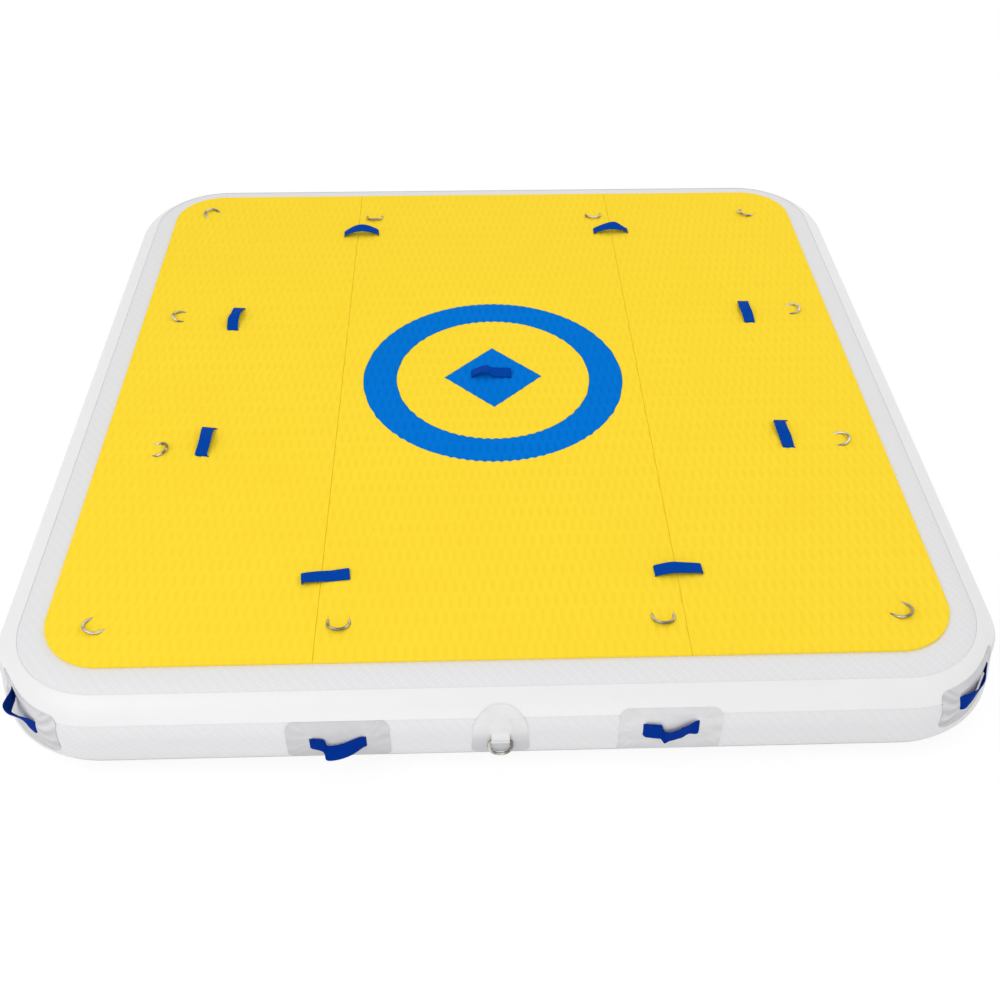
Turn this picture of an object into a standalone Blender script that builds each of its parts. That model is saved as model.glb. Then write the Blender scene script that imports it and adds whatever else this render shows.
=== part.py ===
"""Inflatable dock platform: a square drop-stitch air chamber with a foam deck.

Webbing handles and steel D-rings are set into the deck and the side wall, and an
inflation valve sits in the back wall. Metres, +Z up, the origin at the middle of the
underside, the front towards -Y.
"""
import math

import bmesh
import bpy
import numpy as np
from mathutils import Matrix, Vector

# Overall size
PLATFORM_WIDTH = 2.0
PLATFORM_DEPTH = 2.0
PLATFORM_HEIGHT = 0.200
CLEARANCE = 0.0003

# Air chamber
WALL_BULGE = 0.113
SHOULDER_DROP = 0.078
DECK_CORNER_RADIUS = 0.125
SKIN_THICKNESS = 0.0012
TAPE_INSET = 0.057
TAPE_WIDTH = 0.057
TAPE_THICKNESS = 0.0008
CORNER_STEPS = 8
SHOULDER_STEPS = 6
SHARP_DEGREES = 30
STRAP_SHARP_DEGREES = 50

# Drop-stitch fabric inside the chamber
SHEET_THICKNESS = 0.0006
SHEET_MARGIN = 0.015
YARN_COUNT = 7
YARN_WIDTH = 0.006
YARN_EDGE = 0.120

# Foam deck
FOAM_THICKNESS = 0.007
FOAM_SEAM_GAP = 0.0008
RING_MARK_OUTER_RADIUS = 0.312
RING_MARK_WIDTH = 0.081
RING_MARK_MARGIN = 0.048
DIAMOND_HALF = 0.118
INLAY_GAP = 0.0003
MARK_STEPS = 48

# Webbing
WEBBING_WIDTH = 0.028
WEBBING_THICKNESS = 0.0016
TAB_LENGTH = 0.028
TAB_SIDE_GAP = 0.001
SLIT_GAP = 0.0006

# Handles on the deck
DECK_HANDLE_SPAN = 0.096
DECK_HANDLE_RISE = 0.018
DECK_HANDLE_INSET = 0.216
SIDE_HANDLE_Y = 0.247
HANDLE_STEPS = 10

# D-rings
WIRE = 0.0045
RING_WIDTH = 0.048
RING_LEG = 0.018
RING_BEND = 0.003
RING_ARC_STEPS = 8
RING_SLOT_GAP = 0.0005
RING_TILT = math.radians(16)
RING_INSET = 0.111
RING_SEAM_GAP = 0.043
RING_SPACING_Y = 0.264
KEEPER_END_GAP = 0.011
KEEPER_THICKNESS = 0.0008
KEEPER_ROOT = 0.0005

# Handles and rings on the side wall
PATCH_THICKNESS = 0.0012
PATCH_CORNER = 0.015
PATCH_ROUND_STEPS = 3
TAPE_STEP = 0.003
WALL_HANDLE_SHARE = 0.3495
WALL_PATCH_WIDTH = 0.194
WALL_HANDLE_SPAN = 0.105
WALL_HANDLE_BULGE = 0.026
WALL_HANDLE_DROOP = 0.016
CORNER_PATCH_WIDTH = 0.246
CORNER_PATCH_HEIGHT = 0.098
CORNER_HANDLE_SPAN = 0.168
CORNER_HANDLE_BULGE = 0.024
RING_PATCH_WIDTH = 0.107
RING_PATCH_TOP = 0.084
RING_PATCH_BLUNT = 0.001
RING_PATCH_FOOT_GAP = 0.003
RING_PATCH_CORNER = 0.022
RING_PATCH_ROUND_STEPS = 4

# Inflation valve
VALVE_CORNER_GAP = 0.162
VALVE_BORE_RADIUS = 0.015
VALVE_TUBE_RADIUS = 0.019
VALVE_TUBE_LENGTH = 0.028
VALVE_HOLE_GAP = 0.0005
FLANGE_WIDTH = 0.009
FLANGE_THICKNESS = 0.004
SEAL_WIDTH = 0.007
SEAL_THICKNESS = 0.0015
NUT_WALL = 0.0055
NUT_THICKNESS = 0.006
WEB_DEPTH = 0.015
WEB_THICKNESS = 0.003
VENT_RADIUS = 0.0028
VENTS = 6
VENT_STEPS = 10
STEM_RADIUS = 0.0035
STEM_GAP = 0.0004
STEM_TRAVEL = 0.005
BUTTON_LIP = 0.004
BUTTON_THICKNESS = 0.0025
POPPET_GAP = 0.0015
POPPET_THICKNESS = 0.003
SPRING_WIRE = 0.0008
SPRING_TURNS = 4
SPRING_SPARE_TURNS = 3
SPRING_TURN_STEPS = 10
CAP_LIP = 0.008
CAP_THICKNESS = 0.003
PLUG_DEPTH = 0.005
PLUG_WALL = 0.002
PLUG_GAP = 0.0005
GRIP_WIDTH = 0.004
GRIP_HEIGHT = 0.005
GRIP_SHARE = 0.75
EDGE_CHAMFER = 0.001
TURNED_STEPS = 24

# Sizes that follow from the ones above
FLAT_HALF_X = PLATFORM_WIDTH / 2 - WALL_BULGE
FLAT_HALF_Y = PLATFORM_DEPTH / 2 - WALL_BULGE
HULL_TOP = PLATFORM_HEIGHT - FOAM_THICKNESS - CLEARANCE
HULL_MIDDLE = HULL_TOP / 2
WALL_STRAIGHT = HULL_TOP - 2 * SHOULDER_DROP
FOAM_BOTTOM = HULL_TOP + CLEARANCE
RING_MARK_INNER_RADIUS = RING_MARK_OUTER_RADIUS - RING_MARK_WIDTH
FOAM_SEAM_X = RING_MARK_OUTER_RADIUS + RING_MARK_MARGIN
RING_SPACING_X = FOAM_SEAM_X - RING_SEAM_GAP
WALL_HANDLE_X = WALL_HANDLE_SHARE * FLAT_HALF_X
WIRE_RADIUS = WIRE / 2
RING_RADIUS = RING_WIDTH / 2 - WIRE_RADIUS
KEEPER_INSIDE = WIRE_RADIUS + CLEARANCE
KEEPER_OUTSIDE = KEEPER_INSIDE + KEEPER_THICKNESS
KEEPER_LENGTH = RING_WIDTH - 2 * KEEPER_END_GAP
TAB_MIDDLE = CLEARANCE + WEBBING_THICKNESS / 2
THROUGH = 0.01

# The valve, from its tube outwards and inwards
VALVE_X = FLAT_HALF_X - DECK_CORNER_RADIUS - VALVE_CORNER_GAP
VALVE_HOLE_RADIUS = VALVE_TUBE_RADIUS + VALVE_HOLE_GAP
FLANGE_RADIUS = VALVE_TUBE_RADIUS + FLANGE_WIDTH
SEAL_RADIUS = VALVE_HOLE_RADIUS + SEAL_WIDTH
NUT_RADIUS = VALVE_TUBE_RADIUS + NUT_WALL
CAP_RADIUS = VALVE_BORE_RADIUS + CAP_LIP
BUTTON_RADIUS = STEM_RADIUS + BUTTON_LIP
POPPET_RADIUS = VALVE_BORE_RADIUS - POPPET_GAP
VENT_CIRCLE = (STEM_RADIUS + STEM_GAP + VALVE_BORE_RADIUS) / 2

# Depth of the nut's face, under the facet of the wall that its rim crosses
LAST_TURN = math.pi / 2 * (SHOULDER_STEPS - 1) / SHOULDER_STEPS
FACET_SLOPE = WALL_BULGE * (1 - math.sin(LAST_TURN)) / (SHOULDER_DROP * math.cos(LAST_TURN))
NUT_RECESS = max(0.0, NUT_RADIUS - WALL_STRAIGHT / 2) * FACET_SLOPE
NUT_DEPTH = NUT_RECESS + SKIN_THICKNESS * math.hypot(1, FACET_SLOPE) + CLEARANCE

# Turn round a shoulder against the travel along its outside
TURNS = np.linspace(0, math.pi / 2, 181)
SPEEDS = np.hypot(WALL_BULGE * np.cos(TURNS), SHOULDER_DROP * np.sin(TURNS))
TRAVELS = np.concatenate(([0.0], np.cumsum((SPEEDS[1:] + SPEEDS[:-1]) / 2 * np.diff(TURNS))))
SHOULDER_LENGTH = float(TRAVELS[-1])
SECTION_LENGTH = 2 * SHOULDER_LENGTH + WALL_STRAIGHT
WALL_MIDDLE = SECTION_LENGTH / 2
JOINT_TRAVEL = TAPE_INSET + TAPE_WIDTH / 2
TAPE_END = TAPE_INSET + TAPE_WIDTH

COLOURS = {
    "pvc_fabric": (0.775, 0.775, 0.785, 0.45, 0.0),
    "pvc_tape": (0.870, 0.870, 0.870, 0.40, 0.0),
    "pvc_patch": (0.600, 0.600, 0.610, 0.50, 0.0),
    "woven_polyester": (0.700, 0.690, 0.660, 0.85, 0.0),
    "yellow_foam": (0.980, 0.700, 0.040, 0.80, 0.0),
    "blue_foam": (0.000, 0.180, 0.660, 0.80, 0.0),
    "webbing": (0.002, 0.032, 0.260, 0.75, 0.0),
    "stainless_steel": (0.620, 0.610, 0.590, 0.22, 1.0),
    "valve_plastic": (0.620, 0.630, 0.640, 0.40, 0.0),
    "seal_rubber": (0.030, 0.030, 0.030, 0.70, 0.0),
    "spring_steel": (0.550, 0.550, 0.560, 0.30, 1.0),
}

# The deck's rings: name, place from the middle of the deck, and the way the loop points
INSET_X = FLAT_HALF_X - RING_INSET
INSET_Y = FLAT_HALF_Y - RING_INSET
DECK_RINGS = (
    ("back_left", -INSET_X, INSET_Y, 135),
    ("back_mid_left", -RING_SPACING_X, INSET_Y, -90),
    ("back_mid_right", RING_SPACING_X, INSET_Y, -90),
    ("back_right", INSET_X, INSET_Y, -135),
    ("left_rear", -INSET_X, RING_SPACING_Y, 180),
    ("left_fore", -INSET_X, -RING_SPACING_Y, 0),
    ("right_rear", INSET_X, RING_SPACING_Y, 0),
    ("right_fore", INSET_X, -RING_SPACING_Y, 0),
    ("front_left", -INSET_X, -INSET_Y, -135),
    ("front_mid_left", -RING_SPACING_X, -INSET_Y, -90),
    ("front_mid_right", RING_SPACING_X, -INSET_Y, -90),
    ("front_right", INSET_X, -INSET_Y, -45),
)

# The deck's handles: name, place, and the way the strap runs
HANDLE_X = FLAT_HALF_X - DECK_HANDLE_INSET
HANDLE_Y = FLAT_HALF_Y - DECK_HANDLE_INSET
DECK_HANDLES = (
    ("back_left", -FOAM_SEAM_X, HANDLE_Y, 0),
    ("back_right", FOAM_SEAM_X, HANDLE_Y, 0),
    ("left_rear", -HANDLE_X, SIDE_HANDLE_Y, 90),
    ("left_fore", -HANDLE_X, -SIDE_HANDLE_Y, 90),
    ("right_rear", HANDLE_X, SIDE_HANDLE_Y, 90),
    ("right_fore", HANDLE_X, -SIDE_HANDLE_Y, 90),
    ("front_left", -FOAM_SEAM_X, -HANDLE_Y, 0),
    ("front_right", FOAM_SEAM_X, -HANDLE_Y, 0),
    ("centre", 0.0, 0.0, 0),
)

WALL_HANDLES = (
    ("front_left", "front", -WALL_HANDLE_X),
    ("front_right", "front", WALL_HANDLE_X),
    ("back_left", "back", WALL_HANDLE_X),
    ("back_right", "back", -WALL_HANDLE_X),
)

# Sides and corners of the wall, by the heading that they face
SIDES = {"right": 0, "back": 90, "left": 180, "front": 270}
CORNERS = {"back_right": 45, "back_left": 135, "front_left": 225, "front_right": 315}


def clear_scene():
    for item in list(bpy.data.objects):
        bpy.data.objects.remove(item, do_unlink=True)


def material(name):
    """A plain surface with the piece's colour, roughness and metallic value."""
    found = bpy.data.materials.get(name)
    if found:
        return found
    red, green, blue, roughness, metallic = COLOURS[name]
    made = bpy.data.materials.new(name)
    made.use_nodes = True
    surface = made.node_tree.nodes["Principled BSDF"]
    surface.inputs["Base Color"].default_value = (red, green, blue, 1.0)
    surface.inputs["Roughness"].default_value = roughness
    surface.inputs["Metallic"].default_value = metallic
    return made


def add_object(name, data, finish):
    """Puts mesh or curve data in the scene as a named sub-part."""
    made = bpy.data.objects.new(name, data)
    if finish:
        data.materials.append(material(finish))
    bpy.context.collection.objects.link(made)
    return made


def mesh_object(name, bm, finish, sharp_degrees=SHARP_DEGREES):
    """Turns a bmesh into an object whose round stretches shade smooth."""
    bmesh.ops.remove_doubles(bm, verts=bm.verts, dist=1e-7)
    data = bpy.data.meshes.new(name)
    bm.to_mesh(data)
    bm.free()
    data.shade_smooth()
    data.set_sharp_from_angle(angle=math.radians(sharp_degrees))
    return add_object(name, data, finish)


def thicken(piece, thickness, side):
    """Gives a sheet its thickness: side 1 grows it outwards, 0 both ways, -1 inwards."""
    solid = piece.modifiers.new("Thickness", "SOLIDIFY")
    solid.thickness = thickness
    solid.offset = side
    solid.use_even_offset = True
    return piece


def boolean(piece, tool, operation="DIFFERENCE"):
    change = piece.modifiers.new(tool.name, "BOOLEAN")
    change.operation = operation
    change.object = tool
    change.solver = "EXACT"
    return piece


def tool_object(name, bm):
    """A mesh that only cuts or adds to other pieces."""
    bmesh.ops.recalc_face_normals(bm, faces=bm.faces)
    made = mesh_object(name, bm, None)
    made.hide_render = True
    made.display_type = "WIRE"
    return made


def add_box(bm, low, high, place=Matrix()):
    """A box between two corners of its own frame."""
    low, high = Vector(low), Vector(high)
    fitted = place @ Matrix.Translation((low + high) / 2) @ Matrix.Diagonal((*(high - low), 1))
    bmesh.ops.create_cube(bm, size=1, matrix=fitted)


def add_rod(bm, radius, length, steps, place):
    """A round bar about the middle of its frame, along the frame's Z."""
    bmesh.ops.create_cone(bm, cap_ends=True, segments=steps, radius1=radius, radius2=radius,
                          depth=length, matrix=place)


def common_travels():
    """Rows that every layer of the wall shares, so that their facets lie parallel."""
    turns = [math.pi / 2 * i / SHOULDER_STEPS for i in range(SHOULDER_STEPS + 1)]
    upper = [float(np.interp(turn, TURNS, TRAVELS)) for turn in turns]
    return upper + [SECTION_LENGTH - travel for travel in reversed(upper)]


def rows_between(start, end, extra=()):
    """The shared rows between two travels, with both ends and any extra rows."""
    inside = [travel for travel in (*common_travels(), *extra) if start + 1e-6 < travel < end - 1e-6]
    return [start, *sorted(inside), end]


def section(travel, proud=0.0):
    """Reach past the flat deck's edge, and height, of a point on the wall's outside.

    The travel runs along the wall from the flat deck's edge to the flat underside's edge,
    round a quarter ellipse, down a straight and round another quarter ellipse. The point
    stands proud of the chamber's outside by a distance, or lies under it if negative.
    """
    lower = travel > WALL_MIDDLE
    along = SECTION_LENGTH - travel if lower else travel
    turn = float(np.interp(along, TRAVELS, TURNS))
    normal = Vector((math.sin(turn) / WALL_BULGE, math.cos(turn) / SHOULDER_DROP)).normalized()
    reach = WALL_BULGE * math.sin(turn) + proud * normal.x
    drop = SHOULDER_DROP * (1 - math.cos(turn)) + max(0.0, along - SHOULDER_LENGTH)
    height = HULL_TOP - drop + proud * normal.y
    return reach, HULL_TOP - height if lower else height


def outline(reach, height):
    """A rounded square loop, anticlockwise, that stands out past the flat deck's edge."""
    radius = DECK_CORNER_RADIUS + reach
    points = []
    for corner in range(4):
        centre = corner_centre(45 + 90 * corner)
        for step in range(CORNER_STEPS + 1):
            angle = math.radians(90 * corner + 90 * step / CORNER_STEPS)
            points.append(centre + Vector((math.cos(angle), math.sin(angle), 0)) * radius)
    return [Vector((point.x, point.y, height)) for point in points]


def corner_centre(heading):
    """Centre of the deck's rounded corner that faces a heading."""
    angle = math.radians(heading)
    return Vector((
        math.copysign(FLAT_HALF_X - DECK_CORNER_RADIUS, math.cos(angle)),
        math.copysign(FLAT_HALF_Y - DECK_CORNER_RADIUS, math.sin(angle)), 0))


def wall_point(place, across, travel, proud=0.0):
    """A point on the wall, at a distance across a side or round a corner from its middle."""
    reach, height = section(travel, proud)
    if place in CORNERS:
        heading = CORNERS[place]
        angle = math.radians(heading) + across / (DECK_CORNER_RADIUS + WALL_BULGE)
        outward = Vector((math.cos(angle), math.sin(angle), 0))
        flat = corner_centre(heading) + outward * DECK_CORNER_RADIUS
    else:
        angle = math.radians(SIDES[place])
        outward = Vector((math.cos(angle), math.sin(angle), 0))
        half = FLAT_HALF_X if place in ("left", "right") else FLAT_HALF_Y
        flat = outward * half + Vector((0, 0, 1)).cross(outward) * across
    return flat + outward * reach + Vector((0, 0, height))


def corner_columns(half_width):
    """Distances round a corner at which the wall's facets meet, inside a half width."""
    step = math.radians(90 / CORNER_STEPS) * (DECK_CORNER_RADIUS + WALL_BULGE)
    count = int((half_width - PATCH_CORNER - 1e-4) / step)
    return [i * step for i in range(-count, count + 1)]


def add_loops(bm, loops, closed_loop=True):
    """Skins a run of point loops with faces and returns the loops' vertices."""
    rings = [[bm.verts.new(point) for point in loop] for loop in loops]
    for first, second in zip(rings, rings[1:]):
        count = len(first)
        for i in range(count if closed_loop else count - 1):
            j = (i + 1) % count
            bm.faces.new((first[i], first[j], second[j], second[i]))
    return rings


def dish_skin(name, top, finish):
    """The deck or floor skin: flat in the middle, turned over the shoulder to the joint."""
    end = JOINT_TRAVEL - CLEARANCE / 2
    loops = []
    for travel in rows_between(0.0, end):
        reach, height = section(travel)
        loops.append(outline(reach, height if top else HULL_TOP - height))
    bm = bmesh.new()
    rings = add_loops(bm, loops)
    bm.faces.new(rings[0])
    bmesh.ops.recalc_face_normals(bm, faces=bm.faces)
    middle = bm.faces[:][-1]
    if (middle.normal.z > 0) != top:
        bmesh.ops.reverse_faces(bm, faces=bm.faces)
    return thicken(mesh_object(name, bm, finish), SKIN_THICKNESS, -1)


def band(name, travels, proud, thickness, side, finish):
    """A strip of sheet that runs all round the wall."""
    loops = [outline(*section(travel, proud)) for travel in travels]
    bm = bmesh.new()
    add_loops(bm, loops)
    face_out(bm, Vector((0, 0, HULL_MIDDLE)))
    return thicken(mesh_object(name, bm, finish), thickness, side)


def face_out(bm, inside):
    """Turns an open sheet so that its faces look away from a point on its inner side."""
    bmesh.ops.recalc_face_normals(bm, faces=bm.faces)
    bm.faces.ensure_lookup_table()
    face = bm.faces[0]
    if face.normal.dot(face.calc_center_median() - inside) < 0:
        bmesh.ops.reverse_faces(bm, faces=bm.faces)


def side_wall():
    """The band of fabric that closes the chamber, with the valve's hole in it."""
    start = JOINT_TRAVEL + CLEARANCE / 2
    rows = rows_between(start, SECTION_LENGTH - start)
    wall = band("side_wall", rows, 0.0, SKIN_THICKNESS, -1, "pvc_fabric")
    bm = bmesh.new()
    add_rod(bm, VALVE_HOLE_RADIUS, 2 * VALVE_TUBE_LENGTH, TURNED_STEPS, valve_place())
    boolean(wall, tool_object("valve_hole", bm))


def seam_tapes():
    rows = rows_between(TAPE_INSET, TAPE_END, (JOINT_TRAVEL,))
    band("upper_seam_tape", rows, CLEARANCE, TAPE_THICKNESS, 1, "pvc_tape")
    lower = [SECTION_LENGTH - travel for travel in reversed(rows)]
    band("lower_seam_tape", lower, CLEARANCE, TAPE_THICKNESS, 1, "pvc_tape")


def drop_stitch_fabric():
    """Two woven sheets held parallel by bundles of yarn, woven as one cloth."""
    outer = SKIN_THICKNESS + CLEARANCE
    sheets = []
    for low in (outer, HULL_TOP - outer - SHEET_THICKNESS):
        bm = bmesh.new()
        bottom = bm.faces.new([bm.verts.new(point) for point in outline(-SHEET_MARGIN, low)])
        lifted = bmesh.ops.extrude_face_region(bm, geom=[bottom])
        raised = [item for item in lifted["geom"] if isinstance(item, bmesh.types.BMVert)]
        bmesh.ops.translate(bm, verts=raised, vec=(0, 0, SHEET_THICKNESS))
        bmesh.ops.recalc_face_normals(bm, faces=bm.faces)
        sheets.append(bm)
    lower = mesh_object("drop_stitch_fabric", sheets[0], "woven_polyester")
    boolean(lower, tool_object("upper_sheet", sheets[1]), "UNION")
    bm = bmesh.new()
    for place_x in np.linspace(YARN_EDGE - FLAT_HALF_X, FLAT_HALF_X - YARN_EDGE, YARN_COUNT):
        for place_y in np.linspace(YARN_EDGE - FLAT_HALF_Y, FLAT_HALF_Y - YARN_EDGE, YARN_COUNT):
            half = YARN_WIDTH / 2
            add_box(bm, (-half, -half, outer + SHEET_THICKNESS / 2),
                    (half, half, HULL_TOP - outer - SHEET_THICKNESS / 2),
                    Matrix.Translation((float(place_x), float(place_y), 0)))
    boolean(lower, tool_object("yarn_bundles", bm), "UNION")


def deck_place(x, y, heading):
    """Frame on the chamber's flat top, its X along a heading."""
    return Matrix.Translation((x, y, HULL_TOP)) @ Matrix.Rotation(math.radians(heading), 4, "Z")


def ring_slot_reach():
    """How far from its bar a lying ring's leg first clears the foam."""
    bar_under_deck = PLATFORM_HEIGHT - HULL_TOP - CLEARANCE - WIRE_RADIUS
    return (bar_under_deck + WIRE_RADIUS + CLEARANCE) / math.sin(RING_TILT)


def ring_slot_inside():
    """How far the loop has curved in towards its middle where its leg clears the foam."""
    past = max(0.0, ring_slot_reach() * math.cos(RING_TILT) + WIRE_RADIUS - RING_LEG)
    return RING_RADIUS - math.sqrt(max(0.0, RING_RADIUS ** 2 - past ** 2))


def foam_cutters():
    """Pockets under the foam and slits through it, for the straps' ends and the rings."""
    under = CLEARANCE - THROUGH
    over = PLATFORM_HEIGHT - HULL_TOP + THROUGH
    tabs, slits, bars, legs = (bmesh.new() for _ in range(4))
    strap_half = WEBBING_WIDTH / 2 + TAB_SIDE_GAP
    slit_half = WEBBING_THICKNESS / 2 + SLIT_GAP
    tab_top = 2 * CLEARANCE + WEBBING_THICKNESS
    near = DECK_HANDLE_SPAN / 2
    far = near + TAB_LENGTH + TAB_SIDE_GAP
    for _, x, y, heading in DECK_HANDLES:
        for way in (0, 180):
            place = deck_place(x, y, heading + way)
            add_box(tabs, (near, -strap_half, under), (far, strap_half, tab_top), place)
            add_box(slits, (near - slit_half, -strap_half, under),
                    (near + slit_half, strap_half, over), place)
    bar_half = KEEPER_OUTSIDE + CLEARANCE
    bar_end = RING_RADIUS + WIRE_RADIUS + CLEARANCE
    bar_top = keeper_top() + KEEPER_THICKNESS + CLEARANCE
    reach = ring_slot_reach()
    outer = RING_RADIUS + WIRE_RADIUS + RING_SLOT_GAP
    inner = RING_RADIUS - WIRE_RADIUS - RING_SLOT_GAP - ring_slot_inside()
    for _, x, y, heading in DECK_RINGS:
        place = deck_place(x, y, heading)
        add_box(bars, (-bar_half, -bar_end, under), (bar_half, bar_end, bar_top), place)
        for low, high in ((-outer, -inner), (inner, outer)):
            add_box(legs, (-reach, low, under), (reach, high, over), place)
    cutters = {"strap_pockets": tabs, "strap_slits": slits, "ring_pockets": bars, "ring_slots": legs}
    return [tool_object(name, bm) for name, bm in cutters.items()]


def foam_blank(name, points, finish):
    """A flat piece of foam of the deck's thickness, from its outline on the deck."""
    bm = bmesh.new()
    face = bm.faces.new([bm.verts.new((x, y, FOAM_BOTTOM)) for x, y in points])
    lifted = bmesh.ops.extrude_face_region(bm, geom=[face])
    raised = [item for item in lifted["geom"] if isinstance(item, bmesh.types.BMVert)]
    bmesh.ops.translate(bm, verts=raised, vec=(0, 0, FOAM_THICKNESS))
    bmesh.ops.recalc_face_normals(bm, faces=bm.faces)
    if finish is None:
        return tool_object(name, bm)
    return mesh_object(name, bm, finish)


def panel_outline(low_x, high_x):
    """The rounded deck's outline between two lines that run front to back."""
    bm = bmesh.new()
    bm.faces.new([bm.verts.new(point) for point in outline(0.0, 0.0)])
    for x, way in ((low_x, -1), (high_x, 1)):
        bmesh.ops.bisect_plane(bm, geom=bm.verts[:] + bm.edges[:] + bm.faces[:], dist=1e-6,
                               plane_co=(x, 0, 0), plane_no=(way, 0, 0), clear_outer=True)
    bm.faces.ensure_lookup_table()
    points = [(vert.co.x, vert.co.y) for vert in bm.faces[0].verts]
    bm.free()
    return points


def circle_points(radius, steps=MARK_STEPS):
    return [(radius * math.cos(2 * math.pi * i / steps), radius * math.sin(2 * math.pi * i / steps))
            for i in range(steps)]


def grown_tool(name, points):
    """A cutter through the foam, a little taller than it."""
    cutter = foam_blank(name, points, None)
    for vert in cutter.data.vertices:
        vert.co.z += THROUGH if vert.co.z > FOAM_BOTTOM + FOAM_THICKNESS / 2 else -THROUGH
    return cutter


def foam_deck():
    """Three foam panels, with a ring, a disc and a diamond let into the middle one."""
    cutters = foam_cutters()
    seam = FOAM_SEAM_GAP / 2
    panels = (
        ("foam_panel_left", -FLAT_HALF_X - THROUGH, -FOAM_SEAM_X - seam),
        ("foam_panel_centre", -FOAM_SEAM_X + seam, FOAM_SEAM_X - seam),
        ("foam_panel_right", FOAM_SEAM_X + seam, FLAT_HALF_X + THROUGH),
    )
    for name, low, high in panels:
        panel = foam_blank(name, panel_outline(low, high), "yellow_foam")
        for cutter in cutters:
            boolean(panel, cutter)
    ring_hole = grown_tool("ring_mark_hole", circle_points(RING_MARK_OUTER_RADIUS))
    boolean(bpy.data.objects["foam_panel_centre"], ring_hole)
    ring = foam_blank("ring_mark", circle_points(RING_MARK_OUTER_RADIUS - INLAY_GAP), "blue_foam")
    boolean(ring, grown_tool("disc_hole", circle_points(RING_MARK_INNER_RADIUS)))
    disc = foam_blank("ring_mark_disc", circle_points(RING_MARK_INNER_RADIUS - INLAY_GAP), "yellow_foam")
    boolean(disc, grown_tool("diamond_hole", circle_points(DIAMOND_HALF, 4)))
    inset = INLAY_GAP * math.sqrt(2)
    diamond = foam_blank("diamond_mark", circle_points(DIAMOND_HALF - inset, 4), "blue_foam")
    boolean(diamond, cutters[0])
    boolean(diamond, cutters[1])


def keeper_top():
    """Height of the space in a keeper over what it is bonded to."""
    return 2 * CLEARANCE + 2 * WIRE_RADIUS


def add_keeper(bm, place):
    """A loop that holds a ring's bar down, along its frame's Y on the frame's XY plane."""
    top = keeper_top()
    profile = (
        (-KEEPER_OUTSIDE, -KEEPER_ROOT), (-KEEPER_INSIDE, -KEEPER_ROOT), (-KEEPER_INSIDE, top),
        (KEEPER_INSIDE, top), (KEEPER_INSIDE, -KEEPER_ROOT), (KEEPER_OUTSIDE, -KEEPER_ROOT),
        (KEEPER_OUTSIDE, top + KEEPER_THICKNESS), (-KEEPER_OUTSIDE, top + KEEPER_THICKNESS))
    half = KEEPER_LENGTH / 2
    ends = [[place @ Vector((x, y, z)) for x, z in profile] for y in (-half, half)]
    for ring in add_loops(bm, ends):
        bm.faces.new(ring)


def top_skin():
    """The deck skin, with the keepers of the deck's rings bonded to it."""
    skin = dish_skin("top_skin", True, "pvc_fabric")
    bm = bmesh.new()
    for _, x, y, heading in DECK_RINGS:
        add_keeper(bm, deck_place(x, y, heading))
    boolean(skin, tool_object("ring_keepers", bm), "UNION")


def ring_data():
    """Bent and welded wire: a straight bar on the frame's Y, two legs and a half round."""
    corner = RING_BEND
    points = [(0, -RING_RADIUS + corner), (0, RING_RADIUS - corner), (corner, RING_RADIUS)]
    for step in range(RING_ARC_STEPS + 1):
        angle = math.pi / 2 - math.pi * step / RING_ARC_STEPS
        points.append((RING_LEG + RING_RADIUS * math.cos(angle), RING_RADIUS * math.sin(angle)))
    points.append((corner, -RING_RADIUS))
    data = bpy.data.curves.new("d_ring", "CURVE")
    data.dimensions = "3D"
    data.bevel_depth = WIRE_RADIUS
    data.bevel_resolution = 2
    spline = data.splines.new("POLY")
    spline.points.add(len(points) - 1)
    for target, (x, y) in zip(spline.points, points):
        target.co = (x, y, 0, 1)
    spline.use_cyclic_u = True
    spline.use_smooth = True
    return data


def deck_rings():
    """Rings on the deck, each turning on the bar under its keeper."""
    data = ring_data()
    for name, x, y, heading in DECK_RINGS:
        ring = add_object(f"deck_ring_{name}", data, None if data.materials else "stainless_steel")
        ring.location = (x, y, HULL_TOP + CLEARANCE + WIRE_RADIUS)
        ring.rotation_euler = (0, -RING_TILT, math.radians(heading))


def strip(name, path):
    """Flat webbing that follows a path of centre points and width directions."""
    bm = bmesh.new()
    half = WEBBING_WIDTH / 2
    edges = [[point - way * half, point + way * half] for point, way in path]
    add_loops(bm, edges, closed_loop=False)
    bmesh.ops.recalc_face_normals(bm, faces=bm.faces)
    thicken(mesh_object(name, bm, "webbing", STRAP_SHARP_DEGREES), WEBBING_THICKNESS, 0)


def deck_handles():
    """Straps that come up through slits in the foam, their ends bonded under it."""
    half = DECK_HANDLE_SPAN / 2
    bend = WEBBING_THICKNESS / 2
    ellipse_base = PLATFORM_HEIGHT - HULL_TOP
    for name, x, y, heading in DECK_HANDLES:
        side = [(half + TAB_LENGTH, TAB_MIDDLE), (half + bend, TAB_MIDDLE), (half, TAB_MIDDLE + bend)]
        arch = []
        for step in range(HANDLE_STEPS + 1):
            angle = math.pi * step / HANDLE_STEPS
            arch.append((half * math.cos(angle), ellipse_base + DECK_HANDLE_RISE * math.sin(angle)))
        flat = side + arch + [(-u, z) for u, z in reversed(side)]
        place = deck_place(x, y, heading)
        across = place.to_3x3() @ Vector((0, 1, 0))
        path = [(place @ Vector((u, 0, z)), across) for u, z in flat]
        strip(f"deck_handle_{name}", path)


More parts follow.
